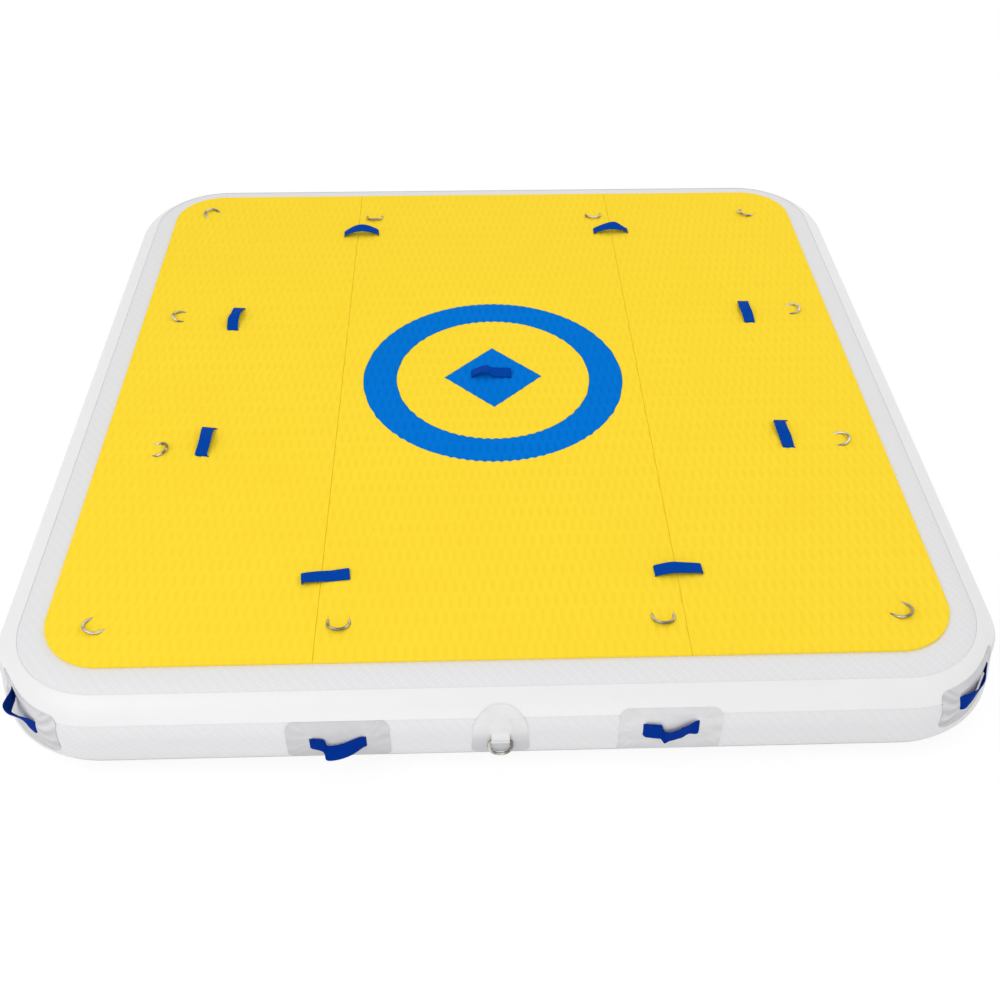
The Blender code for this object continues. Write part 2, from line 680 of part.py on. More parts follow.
def patch(name, place, middle, rows, inner_columns):
    """A sheet bonded to the wall, from rows of (travel, proud, half width) and inner columns."""
    bm = bmesh.new()
    loops = []
    for travel, proud, half in rows:
        columns = [-half, *inner_columns, half]
        loops.append([wall_point(place, middle + across, travel, proud) for across in columns])
    add_loops(bm, loops, closed_loop=False)
    face_out(bm, Vector((0, 0, HULL_MIDDLE)))
    return thicken(mesh_object(name, bm, "pvc_patch"), PATCH_THICKNESS, 1)


def round_offsets(radius, steps):
    """Distances from an edge at which the rows round a corner lie."""
    return [radius * (1 - math.cos(math.pi / 2 * step / steps)) for step in range(1, steps + 1)]


def rounded_half(travel, start, end, half, radius):
    """Half width of a rounded rectangle at a travel between its two ends."""
    past = max(start + radius - travel, travel - end + radius, 0.0)
    return half - radius + math.sqrt(max(0.0, radius ** 2 - past ** 2))


def patch_rows(start, end, half, radius):
    """Rows of a rounded patch, with a few extra ones round its corners."""
    offsets = round_offsets(radius, PATCH_ROUND_STEPS)
    extra = [start + offset for offset in offsets] + [end - offset for offset in offsets]
    return [(travel, CLEARANCE, rounded_half(travel, start, end, half, radius))
            for travel in rows_between(start, end, extra)]


def wall_strap(name, place, middle, span, bulge):
    """A carrying strap whose ends lie on its patch and whose middle stands off and droops."""
    lift = 2 * CLEARANCE + PATCH_THICKNESS + WEBBING_THICKNESS / 2
    half = span / 2
    knots = [-half - TAB_LENGTH, -half]
    for step in range(1, HANDLE_STEPS):
        knots.append(-half + span * step / HANDLE_STEPS)
    knots += [half, half + TAB_LENGTH]
    if place in CORNERS:
        knots += [column for column in corner_columns(half + TAB_LENGTH + PATCH_CORNER) if abs(column) > half]
    path = []
    for across in sorted(knots):
        free = math.sin(math.pi * (across + half) / span) if abs(across) < half else 0.0
        point = wall_point(place, middle + across, WALL_MIDDLE, lift + bulge * free)
        path.append((point - Vector((0, 0, WALL_HANDLE_DROOP * free)), Vector((0, 0, 1))))
    strip(name, path)


def wall_handles():
    """Straps and patches along the front and back walls."""
    start = TAPE_END + CLEARANCE
    half = WALL_PATCH_WIDTH / 2
    rows = patch_rows(start, SECTION_LENGTH - start, half, PATCH_CORNER)
    inner = [PATCH_CORNER - half, half - PATCH_CORNER]
    for name, place, middle in WALL_HANDLES:
        patch(f"handle_patch_{name}", place, middle, rows, inner)
        wall_strap(f"wall_handle_{name}", place, middle, WALL_HANDLE_SPAN, WALL_HANDLE_BULGE)


def corner_handles():
    """Straps and patches round the four corners."""
    start = TAPE_END + CLEARANCE
    half = CORNER_PATCH_WIDTH / 2
    rows = patch_rows(start, start + CORNER_PATCH_HEIGHT, half, PATCH_CORNER)
    for place in CORNERS:
        patch(f"handle_patch_{place}_corner", place, 0.0, rows, corner_columns(half))
        wall_strap(f"wall_handle_{place}_corner", place, 0.0, CORNER_HANDLE_SPAN, CORNER_HANDLE_BULGE)


def ring_patch_rows():
    """Rows of the ring's patch: a round head over the seam tape, and a rounded foot."""
    start = RING_PATCH_TOP
    end = SECTION_LENGTH - TAPE_END - RING_PATCH_FOOT_GAP
    half = RING_PATCH_WIDTH / 2
    extra = [TAPE_END + CLEARANCE, TAPE_END + TAPE_STEP, JOINT_TRAVEL]
    extra += [start + offset for offset in round_offsets(half, RING_PATCH_ROUND_STEPS)]
    extra += [end - offset for offset in round_offsets(RING_PATCH_CORNER, RING_PATCH_ROUND_STEPS)]
    rows = []
    for travel in rows_between(start + RING_PATCH_BLUNT, end, extra):
        over_tape = travel < TAPE_END + TAPE_STEP / 2
        proud = TAPE_THICKNESS + 2 * CLEARANCE if over_tape else CLEARANCE
        head = max(0.0, start + half - travel)
        foot = max(0.0, travel - end + RING_PATCH_CORNER)
        width = math.sqrt(half ** 2 - head ** 2)
        width -= RING_PATCH_CORNER - math.sqrt(RING_PATCH_CORNER ** 2 - foot ** 2)
        rows.append((travel, proud, width))
    return rows


def wall_rings():
    """A ring on the front and on the back, hanging from a keeper on its patch."""
    data = bpy.data.objects["deck_ring_front_left"].data
    for place in ("front", "back"):
        sheet = patch(f"ring_patch_{place}", place, 0.0, ring_patch_rows(), [])
        outward = Vector((0, -1 if place == "front" else 1, 0))
        face = wall_point(place, 0.0, WALL_MIDDLE, CLEARANCE + PATCH_THICKNESS)
        down = Vector((0, 0, -1))
        axes = Matrix((down, outward.cross(down), outward)).transposed().to_4x4()
        bm = bmesh.new()
        add_keeper(bm, Matrix.Translation(face) @ axes)
        boolean(sheet, tool_object(f"keeper_{place}", bm), "UNION")
        ring = add_object(f"wall_ring_{place}", data, None)
        ring.matrix_world = Matrix.Translation(face + outward * (CLEARANCE + WIRE_RADIUS)) @ axes


def valve_place(proud=0.0):
    """Frame on the back wall at the valve, its Z pointing out of the wall."""
    point = wall_point("back", -VALVE_X, WALL_MIDDLE, proud)
    return Matrix.Translation(point) @ Matrix.Rotation(-math.pi / 2, 4, "X")


def turned(name, profile, finish, closed=True):
    """A solid turned about the valve's axis from (radius, height) points."""
    bm = bmesh.new()
    verts = [bm.verts.new((radius, 0, height)) for radius, height in profile]
    pairs = list(zip(verts, verts[1:]))
    if closed:
        pairs.append((verts[-1], verts[0]))
    edges = [bm.edges.new(pair) for pair in pairs]
    bmesh.ops.spin(bm, geom=verts + edges, cent=(0, 0, 0), axis=(0, 0, 1), angle=2 * math.pi,
                   steps=TURNED_STEPS, use_merge=True)
    bmesh.ops.remove_doubles(bm, verts=bm.verts, dist=1e-6)
    bmesh.ops.recalc_face_normals(bm, faces=bm.faces)
    piece = mesh_object(name, bm, finish)
    piece.matrix_world = valve_place()
    return piece


def valve():
    """Spring-loaded inflation valve clamped through the wall, under a quarter-turn cap."""
    seal_top = CLEARANCE + SEAL_THICKNESS
    turned("valve_seal", (
        (VALVE_HOLE_RADIUS, CLEARANCE), (SEAL_RADIUS, CLEARANCE), (SEAL_RADIUS, seal_top),
        (VALVE_HOLE_RADIUS, seal_top)), "seal_rubber")
    nut_top = -NUT_DEPTH
    nut_low = nut_top - NUT_THICKNESS
    nut_bore = VALVE_TUBE_RADIUS + CLEARANCE
    turned("valve_nut", (
        (nut_bore, nut_top), (NUT_RADIUS, nut_top), (NUT_RADIUS, nut_low), (nut_bore, nut_low)),
        "valve_plastic")
    flange_low = seal_top + CLEARANCE
    valve_body(flange_low)
    valve_cap(flange_low + FLANGE_THICKNESS + CLEARANCE)
    spring_low = CLEARANCE - WEB_DEPTH
    spring_high = spring_low + STEM_TRAVEL + (SPRING_TURNS + SPRING_SPARE_TURNS) * SPRING_WIRE
    valve_spring(spring_low, spring_high)
    valve_stem(spring_high + CLEARANCE)


def valve_body(flange_low):
    """Tube with a flange, and inside it a vented web that guides the stem."""
    flange_top = flange_low + FLANGE_THICKNESS
    web_low = -WEB_DEPTH - WEB_THICKNESS
    guide = STEM_RADIUS + STEM_GAP
    body = turned("valve_body", (
        (VALVE_TUBE_RADIUS, flange_low), (FLANGE_RADIUS, flange_low),
        (FLANGE_RADIUS, flange_top - EDGE_CHAMFER), (FLANGE_RADIUS - EDGE_CHAMFER, flange_top),
        (VALVE_BORE_RADIUS, flange_top), (VALVE_BORE_RADIUS, -WEB_DEPTH), (guide, -WEB_DEPTH),
        (guide, web_low), (VALVE_BORE_RADIUS, web_low), (VALVE_BORE_RADIUS, -VALVE_TUBE_LENGTH),
        (VALVE_TUBE_RADIUS, -VALVE_TUBE_LENGTH)), "valve_plastic")
    bm = bmesh.new()
    for i in range(VENTS):
        turn = Matrix.Rotation(2 * math.pi * i / VENTS, 4, "Z")
        place = valve_place() @ turn @ Matrix.Translation((VENT_CIRCLE, 0, -WEB_DEPTH))
        add_rod(bm, VENT_RADIUS, 3 * WEB_THICKNESS, VENT_STEPS, place)
    boolean(body, tool_object("valve_vents", bm))


def valve_stem(button_low):
    """Rod with a button over its spring and a poppet that closes against the web."""
    button_top = button_low + BUTTON_THICKNESS
    poppet_top = -WEB_DEPTH - WEB_THICKNESS - CLEARANCE
    poppet_low = poppet_top - POPPET_THICKNESS
    turned("valve_stem", (
        (0, poppet_low), (POPPET_RADIUS, poppet_low), (POPPET_RADIUS, poppet_top),
        (STEM_RADIUS, poppet_top), (STEM_RADIUS, button_low), (BUTTON_RADIUS, button_low),
        (BUTTON_RADIUS, button_top), (0, button_top)), "valve_plastic", closed=False)


def valve_spring(low, high):
    """Compression spring round the stem, between the body's web and the button."""
    radius = (STEM_RADIUS + BUTTON_RADIUS) / 2
    rise = high - low - SPRING_WIRE
    steps = SPRING_TURNS * SPRING_TURN_STEPS
    data = bpy.data.curves.new("valve_spring", "CURVE")
    data.dimensions = "3D"
    data.bevel_depth = SPRING_WIRE / 2
    data.bevel_resolution = 1
    data.use_fill_caps = True
    spline = data.splines.new("POLY")
    spline.points.add(steps)
    for i, target in enumerate(spline.points):
        angle = 2 * math.pi * i / SPRING_TURN_STEPS
        height = low + SPRING_WIRE / 2 + rise * i / steps
        target.co = (radius * math.cos(angle), radius * math.sin(angle), height, 1)
    piece = add_object("valve_spring", data, "spring_steel")
    piece.matrix_world = valve_place()


def valve_cap(low):
    """Cap with a plug in the valve's bore and a grip rib across its face."""
    top = low + CAP_THICKNESS
    plug = VALVE_BORE_RADIUS - PLUG_GAP
    plug_low = low - PLUG_DEPTH
    cap = turned("valve_cap", (
        (0, low), (plug - PLUG_WALL, low), (plug - PLUG_WALL, plug_low), (plug, plug_low),
        (plug, low), (CAP_RADIUS, low), (CAP_RADIUS, top - EDGE_CHAMFER),
        (CAP_RADIUS - EDGE_CHAMFER, top), (0, top)), "valve_plastic", closed=False)
    bm = bmesh.new()
    half = CAP_RADIUS * GRIP_SHARE
    add_box(bm, (-half, -GRIP_WIDTH / 2, low + CAP_THICKNESS / 2),
            (half, GRIP_WIDTH / 2, top + GRIP_HEIGHT), valve_place())
    boolean(cap, tool_object("cap_grip", bm), "UNION")


def main():
    clear_scene()
    drop_stitch_fabric()
    top_skin()
    dish_skin("bottom_skin", False, "pvc_fabric")
    side_wall()
    seam_tapes()
    foam_deck()
    deck_handles()
    deck_rings()
    wall_handles()
    corner_handles()
    wall_rings()
    valve()


main()
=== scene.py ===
"""Looks of the inflatable dock platform: cloth chamber, foam deck, straps, rings and valve.

Metres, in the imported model's own frame: +Z up, the origin at the middle of the underside,
the front towards -Y.
"""
import math

import bpy
import numpy as np
from mathutils import Matrix, Vector


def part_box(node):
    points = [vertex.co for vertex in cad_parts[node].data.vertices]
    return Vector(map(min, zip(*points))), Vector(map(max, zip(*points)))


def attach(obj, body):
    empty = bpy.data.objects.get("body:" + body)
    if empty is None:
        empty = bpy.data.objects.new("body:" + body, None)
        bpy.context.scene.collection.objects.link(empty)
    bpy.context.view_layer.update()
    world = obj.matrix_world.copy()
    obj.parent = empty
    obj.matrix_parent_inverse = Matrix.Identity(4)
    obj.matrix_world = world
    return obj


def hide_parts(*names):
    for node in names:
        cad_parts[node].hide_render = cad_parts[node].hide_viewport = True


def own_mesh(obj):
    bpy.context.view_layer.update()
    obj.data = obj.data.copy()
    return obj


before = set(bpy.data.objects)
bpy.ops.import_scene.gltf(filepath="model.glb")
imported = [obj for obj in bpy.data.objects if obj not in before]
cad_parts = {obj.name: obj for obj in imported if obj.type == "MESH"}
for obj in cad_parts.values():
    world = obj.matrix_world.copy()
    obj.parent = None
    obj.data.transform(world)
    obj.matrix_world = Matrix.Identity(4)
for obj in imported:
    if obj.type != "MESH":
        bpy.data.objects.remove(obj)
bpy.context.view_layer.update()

# Sizes of the solids, as in the part's source
FLAT = 0.887
CORNER_RADIUS = 0.125
BULGE = 0.113
DROP = 0.078
HULL_TOP = 0.1927
GAP = 0.0003
SKIN = 0.0012
TAPE_START = 0.057
TAPE_END = 0.114
TAPE_THICKNESS = 0.0008
JOINT = (TAPE_START + TAPE_END) / 2
FOAM_BOTTOM = HULL_TOP + GAP
DECK_TOP = 0.200
SEAM_X = 0.360
DIAMOND = 0.118
WEB_WIDTH = 0.028
WEB_THICKNESS = 0.0016
TAB = 0.028
DECK_SPAN = 0.096
WIRE_RADIUS = 0.00225
D_LEG = 0.018
D_BEND = 0.003
PATCH = 0.0012
VALVE_X = 0.600
VALVE_HOLE = 0.0195
SPRING_WIRE = 0.0008
SPRING_RADIUS = 0.0055

# Where the photograph shows the inlaid ring and the front wall's ring, a few millimetres from the solids
MARK_PLACE = (0.005, -0.009)
RING_OUTER = 0.314
RING_INNER = 0.234
RING_SHIFT = -0.008
BOW_WIRE = 0.0029
D_RADIUS = 0.024 - BOW_WIRE
# How a ring lies on the deck, from its bar's place on the skin
LYING = Matrix.Translation((0, 0, GAP + WIRE_RADIUS)) @ Matrix.Rotation(-math.radians(16), 4, "Y")

# Thickness of patches and of strips, rows of the skin inside the flat deck's edge, and the core
PATCH_SHEET = 0.0008
STRIP = 0.0008
SKIN_ROWS = (-0.30, -0.12, -0.03)
CORE_SHEET = 0.0006
CORE_MARGIN = 0.015
YARNS = 30
YARN_STEP = 0.0575
YARN_RADIUS = 0.0012

# The foam's lozenges, how deep they and the packing creases are, and how round its edges are
LOZENGE = (0.0191, 0.0845)
EMBOSS = {"left": (-0.0031, 0.0053), "centre": (-0.0034, 0.0196), "right": (0.00815, 0.0047)}
PRESS_DEPTH = 0.0009
CREASES = (0.511, -0.563)
CREASE_DEPTH = 0.0003
FOAM_ROUNDING = 0.0010
KNIFE = 0.0003
FOAM_STEP = 0.0027

# Turn round a shoulder against the travel along its outside
TURNS = np.linspace(0, math.pi / 2, 181)
SPEEDS = np.hypot(BULGE * np.cos(TURNS), DROP * np.sin(TURNS))
TRAVELS = np.concatenate(([0.0], np.cumsum((SPEEDS[1:] + SPEEDS[:-1]) / 2 * np.diff(TURNS))))
SHOULDER = float(TRAVELS[-1])
SECTION = 2 * SHOULDER + (HULL_TOP - 2 * DROP)
MIDDLE = SECTION / 2

# Name, x, y and the way the loop points, in degrees
D_INSET = FLAT - 0.111
D_SPACE = SEAM_X - 0.043
DECK_RINGS = (
    ("back_left", -D_INSET, D_INSET, 135), ("back_mid_left", -D_SPACE, D_INSET, -90),
    ("back_mid_right", D_SPACE, D_INSET, -90), ("back_right", D_INSET, D_INSET, -135),
    ("left_rear", -D_INSET, 0.264, 180), ("left_fore", -D_INSET, -0.264, 0),
    ("right_rear", D_INSET, 0.264, 0), ("right_fore", D_INSET, -0.264, 0),
    ("front_left", -D_INSET, -D_INSET, -135), ("front_mid_left", -D_SPACE, -D_INSET, -90),
    ("front_mid_right", D_SPACE, -D_INSET, -90), ("front_right", D_INSET, -D_INSET, -45),
)
HANDLE = FLAT - 0.216
# Name, x, y and heading of each deck strap, then its stations in millimetres and degrees:
# how far along the strap, to the side, above the foam, and how far its sides are turned down
DECK_HANDLES = (
    ("back_left", 0.010 - SEAM_X, HANDLE - 0.002, 3, (
        (-42, -2, 7, -3), (-14, 0, 17.5, 9), (12, -1, 18.5, 12), (42, 0, 7, 0))),
    ("back_right", SEAM_X - 0.001, HANDLE - 0.002, 1, (
        (-42, 0, 5.5, -3), (-14, -1, 15.5, 9), (12, -1, 18, 18), (40, 0, 6, -8))),
    ("left_rear", 0.024 - HANDLE, 0.249, 86, (
        (-44, 3, 3.5, 3), (-14, 6, 12, 0), (12, 4, 13, -12), (44, 4, 4.5, 0))),
    ("left_fore", 0.021 - HANDLE, -0.241, 85, (
        (-44, 5, 3, -3), (-14, 3, 12, -6), (12, 5, 13, -4), (44, 9, 5.5, 4))),
    ("right_rear", HANDLE + 0.002, 0.254, 90, (
        (-42, 1, 4.5, 6), (-14, 2, 9, -4), (12, 4, 9, -4), (42, 1, 3, 3))),
    ("right_fore", HANDLE + 0.002, -0.243, 88, (
        (-42, 3, 3, 4), (-14, 5, 6, -6), (12, 9, 9.5, 2), (42, 8, 4, 2))),
    ("front_left", 0.009 - SEAM_X, 0.002 - HANDLE, 7, (
        (-45, -2, 7, -4), (-14, -2, 6, 2), (12, -1, 2.5, 5), (45, -2, 4.5, 9))),
    ("front_right", SEAM_X + 0.003, 0.002 - HANDLE, 3, (
        (-45, -1, 5, 4), (-14, -2, 11.8, 8), (12, -2, 9.5, 4), (45, -2, 5.5, -2))),
    ("centre", 0.001, 0.0, 0, (
        (-44, 0, 6, -4), (-14, 2, 17, -6), (4, -2, 9, 12), (44, -2, 6.5, 15))),
)

# A wall strap's span and how high above the wall's middle its two slits are, in metres, then its stations
# in millimetres and degrees: across, out from the wall, down, and how far its lower edge leans out
LEFT_STRAP = (0.104, (0.006, 0.009), (
    (-46, 4, -6.5, 4), (-31, 6, -5, 14), (-25, 8.5, -2, 30), (-20.5, 16, 5.5, 52), (0, 15, 5.5, 50),
    (21, 12, -1, 44), (44.5, 4.5, -9, 8)))
RIGHT_STRAP = (0.103, (0.024, 0.029), (
    (-46, 4.5, -24.5, 8), (-26, 6, -23, 12), (-18.5, 7, -22, 12), (-12, 9.5, -10, 14), (-2, 9, -11, -2),
    (10, 8, -15, 0), (22, 6.5, -20, -4), (34, 5, -26.5, -14), (46.5, 3.5, -29, 4)))
LEFT_CORNER_STRAP = (0.116, (0.024, 0.027), (
    (-48, 6, -24, -2), (-37.5, 13, -24, -2), (-27, 20.5, -24, -10), (-20, 23, -23, -30), (-10, 20.5, -22, -42),
    (3, 15.5, -22, -42), (18, 10, -25, -30), (30, 7, -26, -16), (46, 4, -27, -3)))
RIGHT_CORNER_STRAP = (0.130, (0.042, 0.034), (
    (-54, 4.5, -41, 2), (-40, 6, -40, -11), (-22, 7, -38, -19), (-4, 7.5, -36, -22), (14, 7.5, -35, -18),
    (34, 6, -34, -8), (56, 5, -34, 2)))
BACK_CORNER_STRAP = (0.124, (0.004, 0.002), (
    (-53, 4.5, -4, 2), (-22, 7, -2, -8), (4, 7.8, -1, -10), (25, 6.5, -2, -6), (53, 4.5, -2, 2)))

# Travel of a patch's head and foot, half its width, how far it sits to the strap's side, slack and an even grey
# over the whole patch
STRAIGHT_PATCH = (TAPE_END + GAP, SECTION - TAPE_END - 0.012, 0.097, 0.0, 0.5, 0.40)
RAISED_PATCH = (TAPE_END - 0.011, SECTION - TAPE_END - GAP, 0.097, 0.0, 0.5, 0.0)
LEFT_CORNER_PATCH = (TAPE_END - 0.010, TAPE_END + 0.078, 0.104, 0.002, 2.2, 0.20)
RIGHT_CORNER_PATCH = (TAPE_END - 0.021, TAPE_END + 0.067, 0.105, -0.003, 2.2, 0.34)
BACK_CORNER_PATCH = (MIDDLE - 0.044, MIDDLE + 0.044, 0.105, 0.0, 2.2, 0.30)
PATCH_CORNER = 0.018
# Name, side or corner of the wall, place along it, strap and patch
WALL_HANDLES = (
    ("front_left", "front", -0.3115, LEFT_STRAP, STRAIGHT_PATCH),
    ("front_right", "front", 0.3115, RIGHT_STRAP, RAISED_PATCH),
    ("back_left", "back", 0.3115, RIGHT_STRAP, RAISED_PATCH),
    ("back_right", "back", -0.3115, LEFT_STRAP, STRAIGHT_PATCH),
    ("front_left_corner", "front_left", 0.010, LEFT_CORNER_STRAP, LEFT_CORNER_PATCH),
    ("front_right_corner", "front_right", -0.013, RIGHT_CORNER_STRAP, RIGHT_CORNER_PATCH),
    ("back_left_corner", "back_left", 0.0, BACK_CORNER_STRAP, BACK_CORNER_PATCH),
    ("back_right_corner", "back_right", 0.0, BACK_CORNER_STRAP, BACK_CORNER_PATCH),
)
SIDES = {"right": 0, "back": 90, "left": 180, "front": 270}
CORNERS = {"back_right": 45, "back_left": 135, "front_left": 225, "front_right": 315}


# Mesh work

def only(*pieces):
    """Selects these pieces and nothing else."""
    bpy.ops.object.select_all(action="DESELECT")
    for piece in pieces:
        piece.select_set(True)
    bpy.context.view_layer.objects.active = pieces[0]


def fresh(name):
    """Names the primitive that was just added."""
    piece = bpy.context.object
    piece.name = piece.data.name = name
    return piece


def discard(*pieces):
    """Takes tools and patterns away after their use."""
    for piece in pieces:
        bpy.data.objects.remove(piece, do_unlink=True)


def corners_of(piece):
    """Places of a piece's vertices as an array."""
    places = np.empty(3 * len(piece.data.vertices))
    piece.data.vertices.foreach_get("co", places)
    return places.reshape(-1, 3)


def move_corners(piece, places):
    """Sets the places of a piece's vertices."""
    piece.data.vertices.foreach_set("co", np.ascontiguousarray(places, dtype=float).ravel())
    piece.data.update()


def moved(piece, place):
    """Puts a piece's mesh where a frame says, with the object left at the origin."""
    piece.data.transform(place)
    return piece


def on_deck(x, y, heading):
    """Frame on the deck skin, turned to a heading in degrees."""
    return Matrix.Translation((x, y, HULL_TOP)) @ Matrix.Rotation(math.radians(heading), 4, "Z")


def box(place, low, high):
    """A box between two corners in a frame."""
    bpy.ops.mesh.primitive_cube_add(size=1)
    low, high = Vector(low), Vector(high)
    fit = Matrix.Translation((low + high) / 2) @ Matrix.Diagonal((*(high - low), 1))
    return moved(bpy.context.object, place @ fit)


def joined(pieces, name):
    only(*pieces)
    bpy.ops.object.join()
    return fresh(name)


def edited(piece, chosen, *steps):
    """Runs edit-mode operators with all, none or the open rims of a piece chosen, or what was kept."""
    only(piece)
    bpy.ops.object.mode_set(mode="EDIT")
    bpy.ops.mesh.select_mode(type="EDGE")
    if chosen != "kept":
        bpy.ops.mesh.select_all(action="SELECT" if chosen == "all" else "DESELECT")
    if chosen == "rims":
        bpy.ops.mesh.select_non_manifold()
    for step in steps:
        step()
    bpy.ops.object.mode_set(mode="OBJECT")
    return piece


def modify(piece, kind, **settings):
    """Adds a modifier with its settings and applies it."""
    only(piece)
    step = piece.modifiers.new(kind.title(), kind)
    for key, value in settings.items():
        setattr(step, key, value)
    bpy.ops.object.modifier_apply(modifier=step.name)
    return piece


def cut(piece, tool):
    """Takes a tool's shape out of a piece."""
    return modify(piece, "BOOLEAN", operation="DIFFERENCE", solver="MANIFOLD", object=tool)


def smooth(piece, degrees=35):
    only(piece)
    bpy.ops.object.shade_smooth_by_angle(angle=math.radians(degrees))
    return piece


def merge(piece):
    """Closes a seam where edges of the mesh meet."""
    return edited(piece, "all", lambda: bpy.ops.mesh.remove_doubles(threshold=1e-6))


def added(name, data):
    """Puts data into the scene as an object."""
    thing = bpy.data.objects.new(name, data)
    bpy.context.collection.objects.link(thing)
    data.name = name
    return thing


def copied(pattern, name, place):
    """A copy of a pattern with its own mesh, set in place."""
    return moved(added(name, pattern.data.copy()), place)


def sheet_from(name, points, across, along):
    """A grid primitive laid through points[row][column], with a UV map in metres."""
    rows, columns = points.shape[:2]
    bpy.ops.mesh.primitive_grid_add(x_subdivisions=columns - 1, y_subdivisions=rows - 1, size=1)
    piece = fresh(name)
    move_corners(piece, points.reshape(-1, 3))
    place = np.stack([np.broadcast_to(across, (rows, columns)), np.broadcast_to(along, (rows, columns))], 2)
    index = np.empty(len(piece.data.loops), dtype=np.int32)
    piece.data.loops.foreach_get("vertex_index", index)
    piece.data.uv_layers[0].data.foreach_set("uv", place.reshape(-1, 2)[index].ravel())
    return piece


def thicken(piece, thickness, side=0.0, rounding=0.0):
    """Gives a sheet its thickness and, if asked, rounds its cut edges."""
    modify(piece, "SOLIDIFY", thickness=thickness, offset=side, use_even_offset=True)
    if rounding:
        modify(piece, "BEVEL", width=rounding, segments=2, limit_method="ANGLE", angle_limit=math.radians(60))
    return piece


def mark(piece, name, domain, values):
    """Writes a number at each vertex or face corner, for a material to read."""
    layer = piece.data.attributes.new(name, "FLOAT", domain)
    layer.data.foreach_set("value", values.astype(np.float32))


def mark_grey(piece, grey):
    """Writes how much painted shade and even grey a patch takes, from the places across and down it."""
    uv = np.empty(2 * len(piece.data.loops))
    piece.data.uv_layers[0].data.foreach_get("uv", uv)
    mark(piece, "painted_shade_and_grey", "CORNER", grey(uv[::2], -uv[1::2]))


def eased(share):
    """0 to 1 with a smooth start and end."""
    return share * share * (3 - 2 * share)


def swelling(value, near, far):
    """1 up to near, 0 from far, and smooth between."""
    return eased(np.clip((far - value) / (far - near), 0, 1))


def run_through(stations, steps):
    """Points spaced along a smooth run through stations, with the last entries turned with it."""
    stations = np.asarray(stations, float)
    ends = np.concatenate([[2 * stations[0] - stations[1]], stations, [2 * stations[-1] - stations[-2]]])
    points = []
    for i in range(len(stations) - 1):
        a, b, c, d = ends[i:i + 4]
        t = np.linspace(0, 1, steps, endpoint=False)[:, None]
        points.append(0.5 * (2 * b + (c - a) * t + (2 * a - 5 * b + 4 * c - d) * t ** 2
                             + (3 * b - a - 3 * c + d) * t ** 3))
    return np.concatenate([*points, stations[-1:]])


def walked_along(run):
    """Distance walked to each point of a run."""
    return np.concatenate([[0.0], np.cumsum(np.linalg.norm(np.diff(run, axis=0), axis=1))])


def spread_evenly(run, count):
    """The same run with its points at even distances."""
    walked = walked_along(run[:, :3])
    even = np.linspace(0, walked[-1], count)
    return np.stack([np.interp(even, walked, column) for column in run.T], 1), even


# The wall

def section(travel, proud=0.0):
    """Reach past the flat deck's edge, and height, of points on the wall."""
    travel, proud = np.broadcast_arrays(np.asarray(travel, float), np.asarray(proud, float))
    lower = travel > MIDDLE
    along = np.where(lower, SECTION - travel, travel)
    turn = np.interp(along, TRAVELS, TURNS)
    out, up = np.sin(turn) / BULGE, np.cos(turn) / DROP
    size = np.hypot(out, up)
    reach = BULGE * np.sin(turn) + proud * out / size
    drop = DROP * (1 - np.cos(turn)) + np.maximum(0.0, along - SHOULDER)
    height = HULL_TOP - drop + proud * up / size
    return reach, np.where(lower, HULL_TOP - height, height)


def feet(place, across):
    """Points of the flat deck's edge and the ways outwards, at distances across a side or corner."""
    across = np.asarray(across, float)
    if place in CORNERS:
        heading = math.radians(CORNERS[place])
        centre = np.copysign(FLAT - CORNER_RADIUS, (math.cos(heading), math.sin(heading)))
        angle = heading + across / (CORNER_RADIUS + BULGE)
        out = np.stack([np.cos(angle), np.sin(angle)], -1)
        return centre + out * CORNER_RADIUS, out
    heading = math.radians(SIDES[place])
    out = np.array((math.cos(heading), math.sin(heading)))
    side = np.array((-out[1], out[0]))
    return out * FLAT + across[..., None] * side, np.broadcast_to(out, (*across.shape, 2))


def drawn_in(out, travel):
    """How far the wall is drawn in where the patches flatten the middle of its front corners."""
    heading = np.degrees(np.arctan2(out[..., 1], out[..., 0]))
    share = np.clip((travel / SECTION - 0.21) / 0.45, 0, 1)
    depth = np.zeros(np.broadcast_shapes(heading.shape, np.shape(travel)))
    # Heading of a corner, the most that it is drawn in, and how far that is off the corner's middle
    for corner, most, sideways in ((-135, 0.028, 0.28), (-45, 0.023, -0.28)):
        off = np.clip((heading - corner) / 45, -1, 1)
        near = 1 - np.abs(off + sideways * (1 - off * off))
        depth = depth + most * eased(near) ** 1.5 * np.sin(np.pi * share) ** 2
    return depth


def on_wall(foot, out, travel, proud):
    """Points on the wall from their feet and ways outwards on the flat deck's edge."""
    reach, height = section(travel, proud)
    reach = reach - drawn_in(out, travel)
    return np.concatenate([foot + out * reach[..., None], height[..., None]], -1)


def wall_points(place, across, travel, proud=0.0):
    """Points on the wall for arrays of across, travel and distance proud of it."""
    across, travel, proud = np.broadcast_arrays(across, travel, proud)
    return on_wall(*feet(place, across), travel, proud)


def wall_loop(steps=24):
    """Feet and ways outwards all round the deck, with the distance walked round the wall."""
    foot, out, walked, start = [], [], [], 0.0
    half, quarter = FLAT - CORNER_RADIUS, math.pi / 4 * (CORNER_RADIUS + BULGE)
    for side, corner in zip(("right", "back", "left", "front"), CORNERS):
        for place, reach in ((side, half), (corner, quarter)):
            across = np.linspace(-reach, reach, steps + 1)
            feet_here, out_here = feet(place, across)
            last = None if place == "front_right" else -1
            foot.append(feet_here[:last])
            out.append(out_here[:last])
            walked.append((start + across + reach)[:last])
            start += 2 * reach
    return np.concatenate(foot), np.concatenate(out), np.concatenate(walked)


LOOP_FOOT, LOOP_OUT, LOOP_WALKED = wall_loop()


